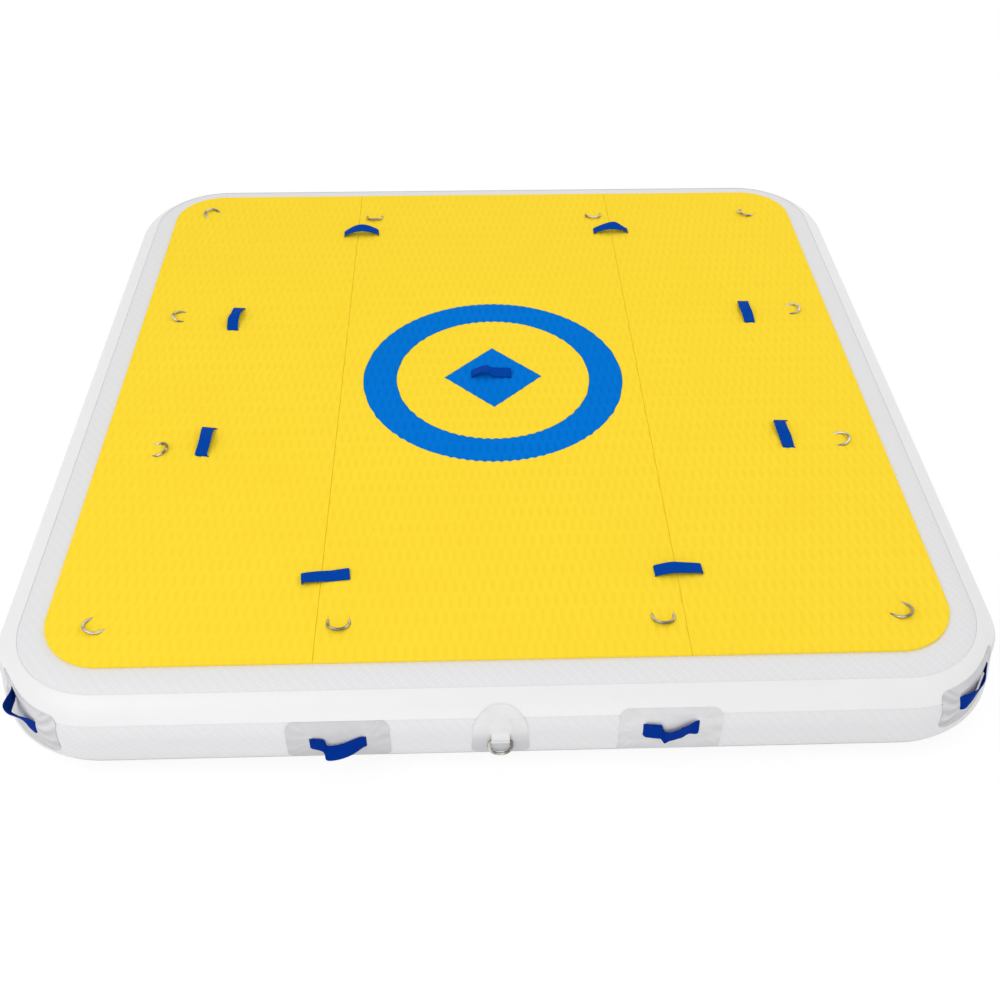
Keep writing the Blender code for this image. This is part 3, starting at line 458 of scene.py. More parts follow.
def band(name, travels, proud, thickness, side):
    """A strip of sheet all round the wall, its seam closed."""
    travels = np.asarray(travels)[::-1, None]
    points = on_wall(LOOP_FOOT[None], LOOP_OUT[None], travels + 0 * LOOP_WALKED, proud)
    piece = merge(sheet_from(name, points, LOOP_WALKED[None], -travels))
    return thicken(piece, thickness, side)


# Materials

def linear(code):
    """A colour as written on a screen, as the values that light uses."""
    parts = [int(code[i:i + 2], 16) / 255 for i in (0, 2, 4)]
    return (*(part / 12.92 if part <= 0.04045 else ((part + 0.055) / 1.055) ** 2.4 for part in parts), 1.0)


def plug(socket, value):
    """Sets an input to a value or a screen colour, or links another node's output to it."""
    if isinstance(value, bpy.types.NodeSocket):
        socket.id_data.links.new(value, socket)
    else:
        socket.default_value = linear(value) if isinstance(value, str) else value


def add_node(tree, kind, inputs=(), output=0, **settings):
    """Adds a shader node with its settings and inputs, and gives one of its outputs."""
    node = tree.nodes.new("ShaderNode" + kind)
    for key, value in settings.items():
        setattr(node, key, value)
    for key, value in dict(inputs).items():
        plug(node.inputs[key], value)
    return node.outputs[output]


def new_finish(name, build=None, *details, coordinates="Object", **inputs):
    """A named material, its surface's inputs fixed or built from the coordinates."""
    finish = bpy.data.materials.new(name)
    finish.use_nodes = True
    tree = finish.node_tree
    if build:
        inputs |= build(add_node(tree, "TexCoord", output=coordinates), *details)
    for key, value in inputs.items():
        plug(tree.nodes["Principled BSDF"].inputs[key.replace("_", " ")], value)
    return finish


def noise(place, scale, detail=2.0, roughness=0.5):
    return add_node(place.id_data, "TexNoise", {"Vector": place, "Scale": scale, "Detail": detail,
                    "Roughness": roughness}, "Fac")


def waves(place, apart, way="X", **inputs):
    """Ripples that are a real distance apart: at scale 1 they are 0.314 m apart."""
    return add_node(place.id_data, "TexWave", {"Vector": place, "Scale": 0.314 / apart, **inputs}, "Fac",
                    bands_direction=way)


def plain_weave(place, apart):
    return calculate("MULTIPLY", waves(place, apart), waves(place, apart, "Y"))


def stretched(place, scale):
    return add_node(place.id_data, "Mapping", {"Vector": place, "Scale": scale})


def calculate(operation, *values):
    return add_node(values[0].id_data, "Math", enumerate(values), operation=operation)


def ranged(value, to_min=0.0, to_max=1.0, from_min=0.0, from_max=1.0):
    return add_node(value.id_data, "MapRange", {"Value": value, "From Min": from_min, "From Max": from_max,
                    "To Min": to_min, "To Max": to_max})


def blend(share, low, high):
    return add_node(low.id_data, "Mix", {0: share, 2: low, 3: high})


def paint(factor, low, high):
    """Two colours mixed by a factor."""
    return add_node(factor.id_data, "Mix", {0: factor, 6: low, 7: high}, 2, data_type="RGBA")


def relief(height, depth, strength=1.0, **under):
    """Bump of a real depth in metres, with a finer one's Normal under it if given."""
    return add_node(height.id_data, "Bump", {"Height": height, "Distance": depth, "Strength": strength, **under})


def coated_cloth(place):
    """PVC-coated polyester: satin, with the base cloth's diagonal pattern pressed through it."""
    turned = add_node(place.id_data, "Mapping", {"Vector": place, "Rotation": (0, 0, math.radians(50))})
    # Diagonal rows 8.5 mm apart, as the yarns of the core pull on the skin
    grid = calculate("MULTIPLY", waves(turned, 0.0085, Distortion=0.6, Detail=1.0),
                     waves(turned, 0.017, "Y", Distortion=0.4, Detail=1.0))
    # Threads 0.9 mm apart under the coating
    fine = relief(waves(turned, 0.0009, "DIAGONAL"), 0.00006, 0.5)
    cloud = noise(place, 3.0, 4.0)
    return {"Base Color": paint(blend(0.25, grid, cloud), "DDDDDF", "E3E3E4"),
            "Normal": relief(grid, 0.00025, Normal=fine), "Roughness": ranged(cloud, 0.41, 0.52, 0.3, 0.7)}


def smooth_tape(place):
    """Calendered PVC tape: glossier and whiter than the cloth, with a faint glue ripple."""
    ripple, grain = noise(place, 14.0, 3.0), noise(place, 900.0)
    return {"Base Color": paint(ripple, "E4E4E5", "E9E9E9"), "Roughness": ranged(grain, 0.30, 0.44),
            "Normal": relief(ripple, 0.0006, 0.5, Normal=relief(grain, 0.00003, 0.6))}


def patch_cloth(place, low, high):
    """Heavy PVC patch cloth: matter, with its plain weave 1.4 mm apart showing."""
    cloud = noise(place, 22.0, 5.0, 0.6)
    both = blend(0.5, cloud, noise(stretched(place, (8.0, 45.0, 1.0)), 1.0, 3.0))
    clean = paint(ranged(both, from_min=0.35, from_max=0.65), low, high)
    # Painted shade greys it along its edge, in its folds and towards its foot, where the wall turns under; some
    # patches also take an even grey all over
    painted_shade_and_grey = add_node(place.id_data, "Attribute", output="Fac", attribute_name="painted_shade_and_grey")
    fine = relief(plain_weave(place, 0.0014), 0.00012, 0.6)
    return {"Base Color": paint(painted_shade_and_grey, clean, "B4B4B7"), "Roughness": ranged(cloud, 0.42, 0.62),
            "Normal": relief(both, 0.0012, 0.6, Normal=fine)}


def eva_foam(place, low, high, groove_shade_colour):
    """Closed-cell EVA foam: dull and finely pored, with painted shade darkening its pressed lozenges."""
    # Cut cells about 0.7 mm across
    cells = add_node(place.id_data, "TexVoronoi", {"Vector": place, "Scale": 1400.0}, "Distance", feature="F1")
    brush = noise(stretched(place, (420.0, 70.0, 420.0)), 1.0, 3.0)
    tone = ranged(blend(0.4, brush, noise(place, 5.0, 5.0, 0.6)), from_min=0.35, from_max=0.65)
    # Painted shade: the pressed lozenges take a darker colour in place of the shade in their hollows
    painted_groove_shade = add_node(place.id_data, "Attribute", output="Fac", attribute_name="pressed")
    return {"Base Color": paint(painted_groove_shade, paint(tone, low, high), groove_shade_colour), "Roughness": ranged(brush, 0.72, 0.92),
            "Normal": relief(brush, 0.00025, 0.5, Normal=relief(cells, 0.0001, 0.6))}


def woven_webbing(place, low, high):
    """Polypropylene webbing: ribs 2.4 mm apart, stepped from row to row, dull on its ribs."""
    def arches(value):
        return calculate("ABSOLUTE", calculate("SINE", calculate("MULTIPLY", value, math.pi)))
    along, across = (add_node(place.id_data, "SeparateXYZ", {0: place}, axis) for axis in (0, 1))
    # Columns of stitches 1.75 mm wide across the 28 mm strap, each half a rib out of step
    column = calculate("MULTIPLY", across, 1 / 0.00175)
    step = calculate("MULTIPLY", calculate("MODULO", calculate("FLOOR", column), 2.0), 0.5)
    rib = calculate("MULTIPLY_ADD", along, 1 / 0.0024, step)
    weave = calculate("MULTIPLY", arches(rib), arches(column))
    fuzz = noise(place, 1500.0)
    return {"Base Color": paint(blend(0.3, weave, fuzz), low, high), "Roughness": ranged(weave, 0.80, 0.58),
            "Normal": relief(weave, 0.0005, 0.8, Normal=relief(fuzz, 0.0001, 0.5))}


def tumbled_steel(place, dark, light, rough):
    """Bent stainless wire, tumble-polished: bright, with faint draw lines and dull spots."""
    cloud = noise(place, 45.0)
    return {"Base Color": paint(ranged(cloud, from_min=0.38, from_max=0.62), dark, light),
            "Roughness": ranged(cloud, rough, rough + 0.14, 0.35, 0.65),
            "Normal": relief(noise(place, 900.0, 3.0), 0.00003, 0.4)}


def moulded(place, low, high, rough, grain, depth):
    """Moulded plastic or rubber: even colour, with the fine grain of the mould."""
    spark = noise(place, 1 / grain, 3.0)
    return {"Base Color": paint(noise(place, 60.0, 3.0), low, high), "Normal": relief(spark, depth, 0.6),
            "Roughness": ranged(spark, rough - 0.06, rough + 0.08)}


def spun_polyester(place):
    """Uncoated polyester yarn and base cloth: off-white, dull and fibrous."""
    weave = plain_weave(place, 0.0012)
    return {"Base Color": paint(weave, "C9C5BB", "E8E5DC"), "Normal": relief(weave, 0.0002, 0.7)}


SKIN_CLOTH = new_finish("pvc_coated_cloth", coated_cloth, coordinates="UV", IOR=1.53)
SEAM_TAPE = new_finish("calendered_pvc_tape", smooth_tape, coordinates="UV", IOR=1.53, Coat_Weight=0.15,
                       Coat_Roughness=0.25)
PATCH_CLOTH, RING_PATCH = (
    new_finish(name, patch_cloth, low, high, coordinates="UV", IOR=1.5)
    for name, low, high in (("pvc_patch_cloth", "CFCFD1", "DEDEDF"), ("pvc_ring_patch", "DADADB", "E5E5E6")))
# The third colour of each foam is the painted shade in its pressed lozenges
YELLOW_FOAM, BLUE_FOAM = (
    new_finish(name, eva_foam, *colours, IOR=1.45, Specular_IOR_Level=0.02)
    for name, *colours in (("yellow_eva_foam", "FBD835", "FEDD3A", "FAD733"),
                           ("blue_eva_foam", "0070D0", "0278D8", "006FCE")))
# One webbing in lit and shaded copies: painted lighter on the deck's straps, which face the light, and painted
# darker on the wall's straps as shade
WEBBING, WALL_WEBBING = (
    new_finish(name, woven_webbing, low, high, coordinates="UV", IOR=1.49, Specular_IOR_Level=0.03)
    for name, low, high in (("deck_webbing_painted_lighter", "003A98", "004EB8"),
                            ("wall_webbing_painted_darker", "002A80", "00369E")))
STEEL = new_finish("tumbled_stainless_steel", tumbled_steel, "77716A", "D3CEC5", 0.20, Metallic=1.0)
SPRING_STEEL = new_finish("drawn_spring_steel", tumbled_steel, "9A9A9C", "B5B5B8", 0.28, Metallic=1.0)
VALVE_PLASTIC = new_finish("moulded_nylon", moulded, "B9BBBE", "C6C8CA", 0.42, 0.0009, 0.00004, IOR=1.5)
SEAL_RUBBER = new_finish("epdm_rubber", moulded, "1A1A1B", "242425", 0.70, 0.0007, 0.00006, IOR=1.5)
CORE_YARN = new_finish("spun_polyester", spun_polyester, Sheen_Weight=0.3, Sheen_Roughness=0.5, Roughness=0.9)


def finished(piece, finish, body="platform", replaces=()):
    """Gives a piece its finish and the body that it rides on."""
    piece.data.materials.clear()
    piece.data.materials.append(finish)
    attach(piece, body)
    for node in replaces:
        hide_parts(node)
    return piece


# Air chamber

def chamber_skin(name, top):
    """The deck or floor skin: flat in the middle and turned over the shoulder to the joint."""
    travels = np.concatenate([SKIN_ROWS, np.linspace(0, JOINT - GAP / 2, 12)])
    reach, height = section(np.maximum(travels, 0.0))
    height = height if top else HULL_TOP - height
    reach = reach[:, None] - drawn_in(LOOP_OUT[None], travels[:, None])
    flat = LOOP_FOOT[None] + LOOP_OUT[None] * reach[..., None]
    laid = LOOP_FOOT[None] + LOOP_OUT[None] * travels[:, None, None]
    for row, travel in enumerate(SKIN_ROWS):
        # Inner loops are smaller copies, so that the corners keep their shape
        flat[row] = laid[row] = LOOP_FOOT * (1 + travel / FLAT)
    points = np.concatenate([flat, np.broadcast_to(height[:, None, None], (*flat.shape[:2], 1))], 2)
    way = -1 if top else 1
    piece = merge(sheet_from(name, points[::way], laid[::way, :, 0], laid[::way, :, 1]))
    edited(piece, "none")
    places = corners_of(piece)
    inside = np.abs(places[:, :2]).max(1) < FLAT + SKIN_ROWS[0] + 0.001
    for edge in piece.data.edges:
        edge.select = all(inside[i] for i in edge.vertices)
    edited(piece, "kept", bpy.ops.mesh.edge_face_add)
    for loop, uv in zip(piece.data.loops, piece.data.uv_layers[0].data):
        if inside[loop.vertex_index]:
            uv.uv = places[loop.vertex_index, :2]
    finished(smooth(thicken(piece, SKIN, -1.0)), SKIN_CLOTH,
             replaces=["top_skin" if top else "bottom_skin"])
    return piece


def chamber():
    """Both skins, the wall's band with the valve's hole, and the two seam tapes."""
    deck, floor = chamber_skin("deck_cloth", True), chamber_skin("floor_cloth", False)
    start = JOINT + GAP / 2
    rows = np.concatenate([np.linspace(start, SHOULDER, 12), np.linspace(SHOULDER, SECTION - SHOULDER, 4)[1:-1],
                           np.linspace(SECTION - SHOULDER, SECTION - start, 12)])
    wall = band("wall_cloth", rows, 0.0, SKIN, -1.0)
    bpy.ops.mesh.primitive_cylinder_add(vertices=64, radius=VALVE_HOLE, depth=0.06)
    valve = Vector(wall_points("back", np.array(-VALVE_X), np.array(MIDDLE)))
    hole = moved(fresh("valve_hole_cutter"), Matrix.Translation(valve) @ Matrix.Rotation(-math.pi / 2, 4, "X"))
    cut(wall, hole)
    discard(hole)
    finished(smooth(wall), SKIN_CLOTH, replaces=["side_wall"])
    travels = np.linspace(TAPE_START, TAPE_END, 10)
    upper, lower = (
        finished(smooth(band(f"{name}_tape", where, GAP, TAPE_THICKNESS, 1.0)), SEAM_TAPE,
                 replaces=[f"{name}_seam_tape"])
        for name, where in (("upper", travels), ("lower", (SECTION - travels)[::-1])))


def core():
    """The drop-stitch core: two woven sheets, and yarn bundles that hold them parallel."""
    outer = SKIN + GAP
    for name, low in (("core_sheet_lower", outer), ("core_sheet_upper", HULL_TOP - outer - CORE_SHEET)):
        outline = LOOP_FOOT[:-1] - LOOP_OUT[:-1] * CORE_MARGIN
        bpy.ops.mesh.primitive_circle_add(vertices=len(outline), radius=1, fill_type="NGON")
        piece = fresh(name)
        move_corners(piece, np.column_stack([outline, np.full(len(outline), low)]))
        thicken(piece, CORE_SHEET, 1.0)
        finished(piece, CORE_YARN, replaces=["drop_stitch_fabric"])
    first = -YARN_STEP * (YARNS - 1) / 2
    bpy.ops.mesh.primitive_cylinder_add(vertices=6, radius=YARN_RADIUS, depth=HULL_TOP - 2 * outer - 2 * CORE_SHEET,
                                        end_fill_type="NOTHING", location=(first, first, HULL_TOP / 2))
    yarns = fresh("core_yarns")
    bpy.ops.object.transform_apply(location=True)
    for step in ((YARN_STEP, 0, 0), (0, YARN_STEP, 0)):
        modify(yarns, "ARRAY", count=YARNS, use_relative_offset=False, use_constant_offset=True,
               constant_offset_displace=step)
    finished(smooth(yarns, 80), CORE_YARN, replaces=["drop_stitch_fabric"])


# Foam deck

def pressed(x, y, panel):
    """How far down a place is in the foam's pressed lozenges, from 0 to 1."""
    x0, y0 = EMBOSS[panel]
    wave = np.cos(2 * np.pi * (x - x0) / LOZENGE[0]) * np.cos(2 * np.pi * (y - y0) / LOZENGE[1])
    return eased(np.clip((wave + 0.05) / 0.6, 0, 1))


def foam_heights(x, y, panel, distance):
    """Height of the embossed and creased top, rounded at a cut edge."""
    creased = sum(np.exp(-((y - crease) / 0.004) ** 2) for crease in CREASES)
    inside = np.clip(FOAM_ROUNDING - distance, 0, FOAM_ROUNDING)
    rounded = FOAM_ROUNDING - np.sqrt(FOAM_ROUNDING ** 2 - inside ** 2)
    return DECK_TOP - PRESS_DEPTH * pressed(x, y, panel) - CREASE_DEPTH * creased - rounded


def foam_from(name, x, y, panel, distance, ring=False):
    """Foam from a grid of places: its top, its sides down to the deck, and its closed underside."""
    piece = sheet_from(name, np.stack([x, y, foam_heights(x, y, panel, distance)], 2), x, y)
    if ring:
        merge(piece)
    edited(piece, "rims", lambda: bpy.ops.mesh.extrude_region_move(TRANSFORM_OT_translate={"value": (0, 0, -0.1)}))
    places = corners_of(piece)
    places[places[:, 2] < DECK_TOP - 0.05, 2] = FOAM_BOTTOM
    move_corners(piece, places)
    return edited(piece, "kept", bpy.ops.mesh.bridge_edge_loops if ring else bpy.ops.mesh.edge_face_add)


def edged(low, high, step):
    """Even places between two edges, with close ones where the edge is rounded."""
    near = np.array((0.0, 0.0003, 0.0009, 0.0018, 0.0032))
    count = int((high - low - 0.009) / step)
    return np.concatenate([low + near, np.linspace(low + 0.0045, high - 0.0045, count), (high - near)[::-1]])


def foam_panel(name, panel, low, high):
    """A third of the deck's foam, from an embossed grid fitted to the deck's rounded outline."""
    x, y = edged(low, high, FOAM_STEP), edged(-FLAT, FLAT, 0.0080)
    centre = FLAT - CORNER_RADIUS
    half = centre + np.sqrt(CORNER_RADIUS ** 2 - np.clip(np.abs(x) - centre, 0, CORNER_RADIUS) ** 2)
    # The rows past this place close up where the outline turns
    still = 0.70
    beyond = np.clip(np.abs(y) - still, 0, None)
    grid_x = np.broadcast_to(x, (len(y), len(x)))
    grid_y = np.sign(y)[:, None] * (np.minimum(np.abs(y), still)[:, None]
                                    + beyond[:, None] * (half - still)[None] / (FLAT - still))
    past_x, past_y = (np.maximum(np.abs(grid) - centre, 0) for grid in (grid_x, grid_y))
    distance = np.minimum(CORNER_RADIUS - np.hypot(past_x, past_y), np.minimum(grid_x - low, high - grid_x))
    return foam_from(name, grid_x, grid_y, panel, np.clip(distance, 0, None))


def on_mark(radius, angle):
    """Places round the inlaid ring's middle."""
    return MARK_PLACE[0] + radius * np.cos(angle), MARK_PLACE[1] + radius * np.sin(angle)


def cut_radius(radius):
    """A round cut that wanders as the knife crosses the pressed rows, for any angle."""
    x0, y0 = EMBOSS["centre"]

    def at(angle):
        x, y = on_mark(radius, angle)
        along = np.cos(2 * np.pi * (y - y0) / LOZENGE[1])
        return radius + 0.0010 * np.cos(2 * np.pi * (x - x0) / LOZENGE[0]) * (0.7 + 0.3 * along)
    return at


def polar_foam(name, inner, outer, steps, rows):
    """A ring of embossed foam between two outlines given as radii at each angle."""
    angle = np.linspace(0, 2 * np.pi, steps + 1)
    near = np.array((0.0, 0.004, 0.012, 0.024, 0.042))
    share = np.concatenate([near, np.linspace(0.06, 0.94, rows), (1 - near)[::-1]])[::-1]
    low, high = inner(angle), outer(angle) - KNIFE
    radius = low + (high - low) * share[:, None]
    distance = np.clip(np.minimum(radius - low, high - radius), 0, None)
    return foam_from(name, *on_mark(radius, angle), "centre", distance, ring=True)


def foam_diamond(name):
    """The blue diamond in the middle, less the knife's gap."""
    side = (DIAMOND - KNIFE * math.sqrt(2)) / math.sqrt(2)
    line = edged(-side, side, FOAM_STEP)
    u, v = np.meshgrid(line, line)
    x, y = MARK_PLACE[0] + (u - v) / math.sqrt(2), MARK_PLACE[1] + (u + v) / math.sqrt(2)
    return foam_from(name, x, y, "centre", side - np.maximum(np.abs(u), np.abs(v)))


def foam_tools():
    """Shapes that cut the straps' pockets and slits, and what the rings and their bars pass through."""
    strap = WEB_WIDTH / 2 + 0.0002
    slit = WEB_THICKNESS / 2 + 0.0001
    near, far = DECK_SPAN / 2, DECK_SPAN / 2 + TAB + 0.001
    under, over = -0.01, 0.02
    pockets, slits, bars, legs, wires = [], [], [], [], []
    for _, x, y, heading, _ in DECK_HANDLES:
        for way in (0, 180):
            place = on_deck(x, y, heading + way)
            pockets.append(box(place, (near - 0.001, -strap, under), (far, strap, 2 * GAP + WEB_THICKNESS)))
            slits.append(box(place, (near - slit, -strap, under), (near + slit, strap, over)))
    half, side = WIRE_RADIUS + 2 * GAP + STRIP, D_RADIUS + BOW_WIRE + GAP
    bar_top = 3 * GAP + 2 * WIRE_RADIUS + STRIP
    pattern = d_ring(BOW_WIRE + 0.0003)
    for _, x, y, heading in DECK_RINGS:
        place = on_deck(x, y, heading)
        bars.append(box(place, (-half, -side, under), (half, side, bar_top)))
        # A knife's slit lets each leg swing up through the foam
        for leg in (-D_RADIUS, D_RADIUS):
            legs.append(box(place, (-0.003, leg - 0.00015, under), (0.016, leg + 0.00015, over)))
        wires.append(copied(pattern, "wire_cutter", place @ LYING))
    discard(pattern)
    return [joined(parts, name) for name, parts in (
        ("strap_pockets", pockets), ("strap_slits", slits), ("bar_pockets", bars), ("leg_slits", legs),
        ("wire_cutters", wires))]


def foam_deck():
    """Three panels, with the ring, disc and diamond let into the middle one."""
    tools = foam_tools()
    seam = 0.0002
    ring_hole, disc_hole = cut_radius(RING_OUTER), cut_radius(RING_INNER)
    made = []
    for panel, low, high in (("left", -FLAT, -SEAM_X - seam), ("centre", -SEAM_X + seam, SEAM_X - seam),
                             ("right", SEAM_X + seam, FLAT)):
        piece = foam_panel(f"deck_foam_{panel}", panel, low, high)
        if panel == "centre":
            bpy.ops.mesh.primitive_cylinder_add(vertices=768, radius=RING_OUTER, depth=0.1)
            hole = fresh("ring_hole_cutter")
            places = corners_of(hole)
            angle = np.arctan2(places[:, 1], places[:, 0])
            move_corners(hole, np.stack([*on_mark(ring_hole(angle), angle), places[:, 2] + DECK_TOP], 1))
            cut(piece, hole)
            discard(hole)
        for tool in tools:
            cut(piece, tool)
        made.append((piece, panel, YELLOW_FOAM, "yellow_foam", f"foam_panel_{panel}"))
    ring = polar_foam("deck_ring_inlay", disc_hole, ring_hole, 768, 26)

    def diamond_hole(angle):
        return DIAMOND / (np.abs(np.cos(angle)) + np.abs(np.sin(angle)))
    disc = polar_foam("deck_disc_inlay", diamond_hole, disc_hole, 640, 44)
    diamond = foam_diamond("deck_diamond_inlay")
    for tool in tools[:2]:
        cut(diamond, tool)
    made += [(ring, "centre", BLUE_FOAM, "blue_foam", "ring_mark"),
             (disc, "centre", YELLOW_FOAM, "yellow_foam", "ring_mark_disc"),
             (diamond, "centre", BLUE_FOAM, "blue_foam", "diamond_mark")]
    for piece, panel, finish, slot, node in made:
        places = corners_of(piece)
        on_top = places[:, 2] > DECK_TOP - 0.0045
        # How far each place is pressed in, which also sets the foam's painted shade
        mark(piece, "pressed", "POINT", pressed(places[:, 0], places[:, 1], panel) * on_top)
        finished(smooth(piece, 40), finish, replaces=[node])
    discard(*tools)


# D-rings

def d_ring(wire=BOW_WIRE):
    """A ring of bent wire: a bar on the frame's Y, two legs and a half round."""
    turn = np.linspace(0, np.pi / 2, 7)
    bend = np.stack([D_BEND - D_BEND * np.cos(turn), D_RADIUS - D_BEND + D_BEND * np.sin(turn)], 1)
    arc = np.pi / 2 - np.linspace(0, np.pi, 40)
    bow = np.stack([D_LEG + D_RADIUS * np.cos(arc), D_RADIUS * np.sin(arc)], 1)
    outline = np.concatenate([[(0, 0)], bend, bow, bend[::-1] * (1, -1), [(0, 0)]])
    run, _ = spread_evenly(np.column_stack([outline, np.zeros(len(outline))]), 113)
    bpy.ops.mesh.primitive_circle_add(vertices=112, radius=1)
    ring = fresh("d_ring_pattern")
    move_corners(ring, run[:-1])
    bpy.ops.object.convert(target="CURVE")
    ring = bpy.context.object
    ring.data.bevel_depth = wire
    ring.data.bevel_resolution = 4
    for point in ring.data.splines[0].points:
        point.radius = 1 - (1 - WIRE_RADIUS / BOW_WIRE) * float(swelling(point.co.x, 0.004, 0.012))
    bpy.ops.object.convert(target="MESH")
    return smooth(bpy.context.object, 80)


def keeper():
    """A loop of PVC strip, 26 mm long, that holds a ring's bar down on what it is bonded to."""
    wide, top = WIRE_RADIUS + GAP + STRIP / 2, 2 * GAP + 2 * WIRE_RADIUS - 2 * STRIP
    arch = [(wide * math.cos(angle), top + 0.0020 * math.sin(angle)) for angle in np.linspace(math.pi, 0, 9)]
    profile = np.array([(-wide, 0.0), (-wide, top), *arch, (wide, 0.0)])
    y = np.linspace(-0.013, 0.013, 9)
    points = np.empty((len(profile), len(y), 3))
    points[..., 0], points[..., 1], points[..., 2] = profile[:, :1], y, profile[:, 1:]
    piece = sheet_from("keeper_pattern", points[::-1], y[None], walked_along(profile)[::-1, None])
    return smooth(thicken(piece, STRIP, 0.0, 0.0002), 50)


def rings():
    """The deck's rings under their keepers, and one hanging on each patch of the wall."""
    ring, loop = d_ring(), keeper()
    for name, x, y, heading in DECK_RINGS:
        flat = on_deck(x, y, heading)
        node = f"deck_ring_{name}"
        finished(copied(ring, f"d_ring_{name}", flat @ LYING), STEEL, node, [node])
        finished(copied(loop, f"keeper_{name}", flat), SKIN_CLOTH)
    for place, y in (("front", -1), ("back", 1)):
        face = wall_points(place, np.array(RING_SHIFT), np.array(MIDDLE), np.array(GAP + PATCH))
        outward, down = Vector((0, y, 0)), Vector((0, 0, -1))
        axes = Matrix((down, outward.cross(down), outward)).transposed().to_4x4()
        bar = Matrix.Translation(Vector(face) + outward * (GAP + WIRE_RADIUS)) @ axes
        node = f"wall_ring_{place}"
        finished(copied(ring, f"d_ring_wall_{place}", bar), STEEL, node, [node])
    discard(ring, loop)


# Straps

ACROSS = np.linspace(-WEB_WIDTH / 2, WEB_WIDTH / 2, 9)[:, None]


def metres(stations):
    """A strap's stations with their distances in metres."""
    return [(along / 1000, aside / 1000, up / 1000, turn) for along, aside, up, turn in stations]


def webbing(name, points, walked, node, finish):
    """A strap of webbing from its rows of points and the distance walked along it."""
    piece = sheet_from(name, points, walked[None], ACROSS + WEB_WIDTH)
    finished(smooth(thicken(piece, WEB_THICKNESS, 0.0, 0.0005), 50), finish, replaces=[node])


def deck_straps():
    """Straps that come up through slits in the foam, bonded to the skin under it."""
    half, low = DECK_SPAN / 2, GAP + WEB_THICKNESS / 2
    foam = DECK_TOP - HULL_TOP
    for name, x, y, heading, stations in DECK_HANDLES:
        stations, ends = metres(stations), []
        for way, (_, side, _, turn) in ((-1, stations[0]), (1, stations[-1])):
            ends.append([(way * (half + along), side * share, up, turn * share) for along, up, share in (
                (TAB, low, 0), (0.010, low, 0), (0.003, low + 0.0002, 0), (0.0006, low + 0.002, 0.1),
                (0, low + 0.0045, 0.2), (-0.0002, foam + 0.0008, 0.3))])
        middle = [(along, side, foam + up, turn) for along, side, up, turn in stations]
        run, walked = spread_evenly(run_through([*ends[0], *middle, *ends[1][::-1]], 12), 80)
        place = on_deck(x, y, heading)
        axes = np.array(place.to_3x3()).T
        turn = np.radians(run[:, 3])
        ways = np.stack([np.zeros_like(turn), np.cos(turn), np.sin(turn)], 1) @ axes
        centres = run[:, :3] @ axes + np.array(place.translation)
        webbing(f"deck_strap_{name}", centres[None] + ways[None] * ACROSS[..., None], walked,
                f"deck_handle_{name}", WEBBING)


def wall_strap(name, place, middle, strap, node):
    """A carrying strap whose ends go through slits in its patch and lie bonded under it."""
    span, rises, stations = strap
    half, low = span / 2, GAP + WEB_THICKNESS / 2
    ends = [[(way * (half + along), low + out, -rise, 0) for along, out in (
        (TAB, 0), (0.010, 0), (0.0012, 0.0002), (-0.0012, 0.0030))] for way, rise in zip((-1, 1), rises)]
    free = [(across, out + low, down, turn) for across, out, down, turn in metres(stations)]
    run = run_through([*ends[0], *free, *ends[1][::-1]], 10)
    centres = wall_points(place, middle + run[:, 0], MIDDLE + run[:, 2], run[:, 1])
    run, walked = spread_evenly(np.column_stack([centres, run]), 90)
    across, out, down, turn = middle + run[:, 3], run[:, 4], run[:, 5], np.radians(run[:, 6:7])
    centre = wall_points(place, across, MIDDLE + down, out)
    up = wall_points(place, across, MIDDLE + down - 0.001, out) - centre
    outward = wall_points(place, across, MIDDLE + down, out + 0.001) - centre
    way = (up * np.cos(turn) - outward * np.sin(turn)) * 1000
    loose = centre[None] + way[None] * ACROSS[..., None]
    bonded = wall_points(place, across[None], MIDDLE + down[None] - ACROSS, out[None])
    share = swelling(out, low + 0.0005, low + 0.003)[None, :, None]
    webbing(name, bonded * share + loose * (1 - share), walked, node, WALL_WEBBING)


def patch_sheet(name, place, middle, travels, halves, lift, grey, columns, node, finish, tools=()):
    """A patch bonded to the wall: rows with their half widths, lifted where something is under it."""
    rim = np.array((0.985, 0.955))
    share = np.unique(np.concatenate([np.linspace(-1, 1, columns), rim, -rim]))
    travels, halves = np.asarray(travels)[::-1], np.asarray(halves)[::-1]
    across = halves[:, None] * share[None]
    travel = np.broadcast_to(travels[:, None], across.shape)
    points = wall_points(place, middle + across, travel, lift(across, travel))
    piece = thicken(sheet_from(name, points, across, -travel), PATCH_SHEET, 1.0)
    for tool in tools:
        cut(piece, tool)
    mark_grey(piece, grey)
    finished(smooth(piece, 50), finish, replaces=[node])


def over_tape(travel):
    """1 where a patch lies on the tape's edge, 0 past it."""
    return swelling(travel, TAPE_END + 0.0005, TAPE_END + 0.005)


def rounded_rows(start, end, half):
    """Rows of a patch with rounded corners, and their half widths."""
    radius = PATCH_CORNER
    ends = radius * (1 - np.cos(np.linspace(0, np.pi / 2, 9)))
    travels = np.unique(np.concatenate([start + ends, end - ends, np.linspace(start + radius, end - radius, 60)]))
    past = np.maximum(start + radius - travels, travels - end + radius).clip(0, radius)
    return travels, half - radius + np.sqrt(radius ** 2 - past ** 2)


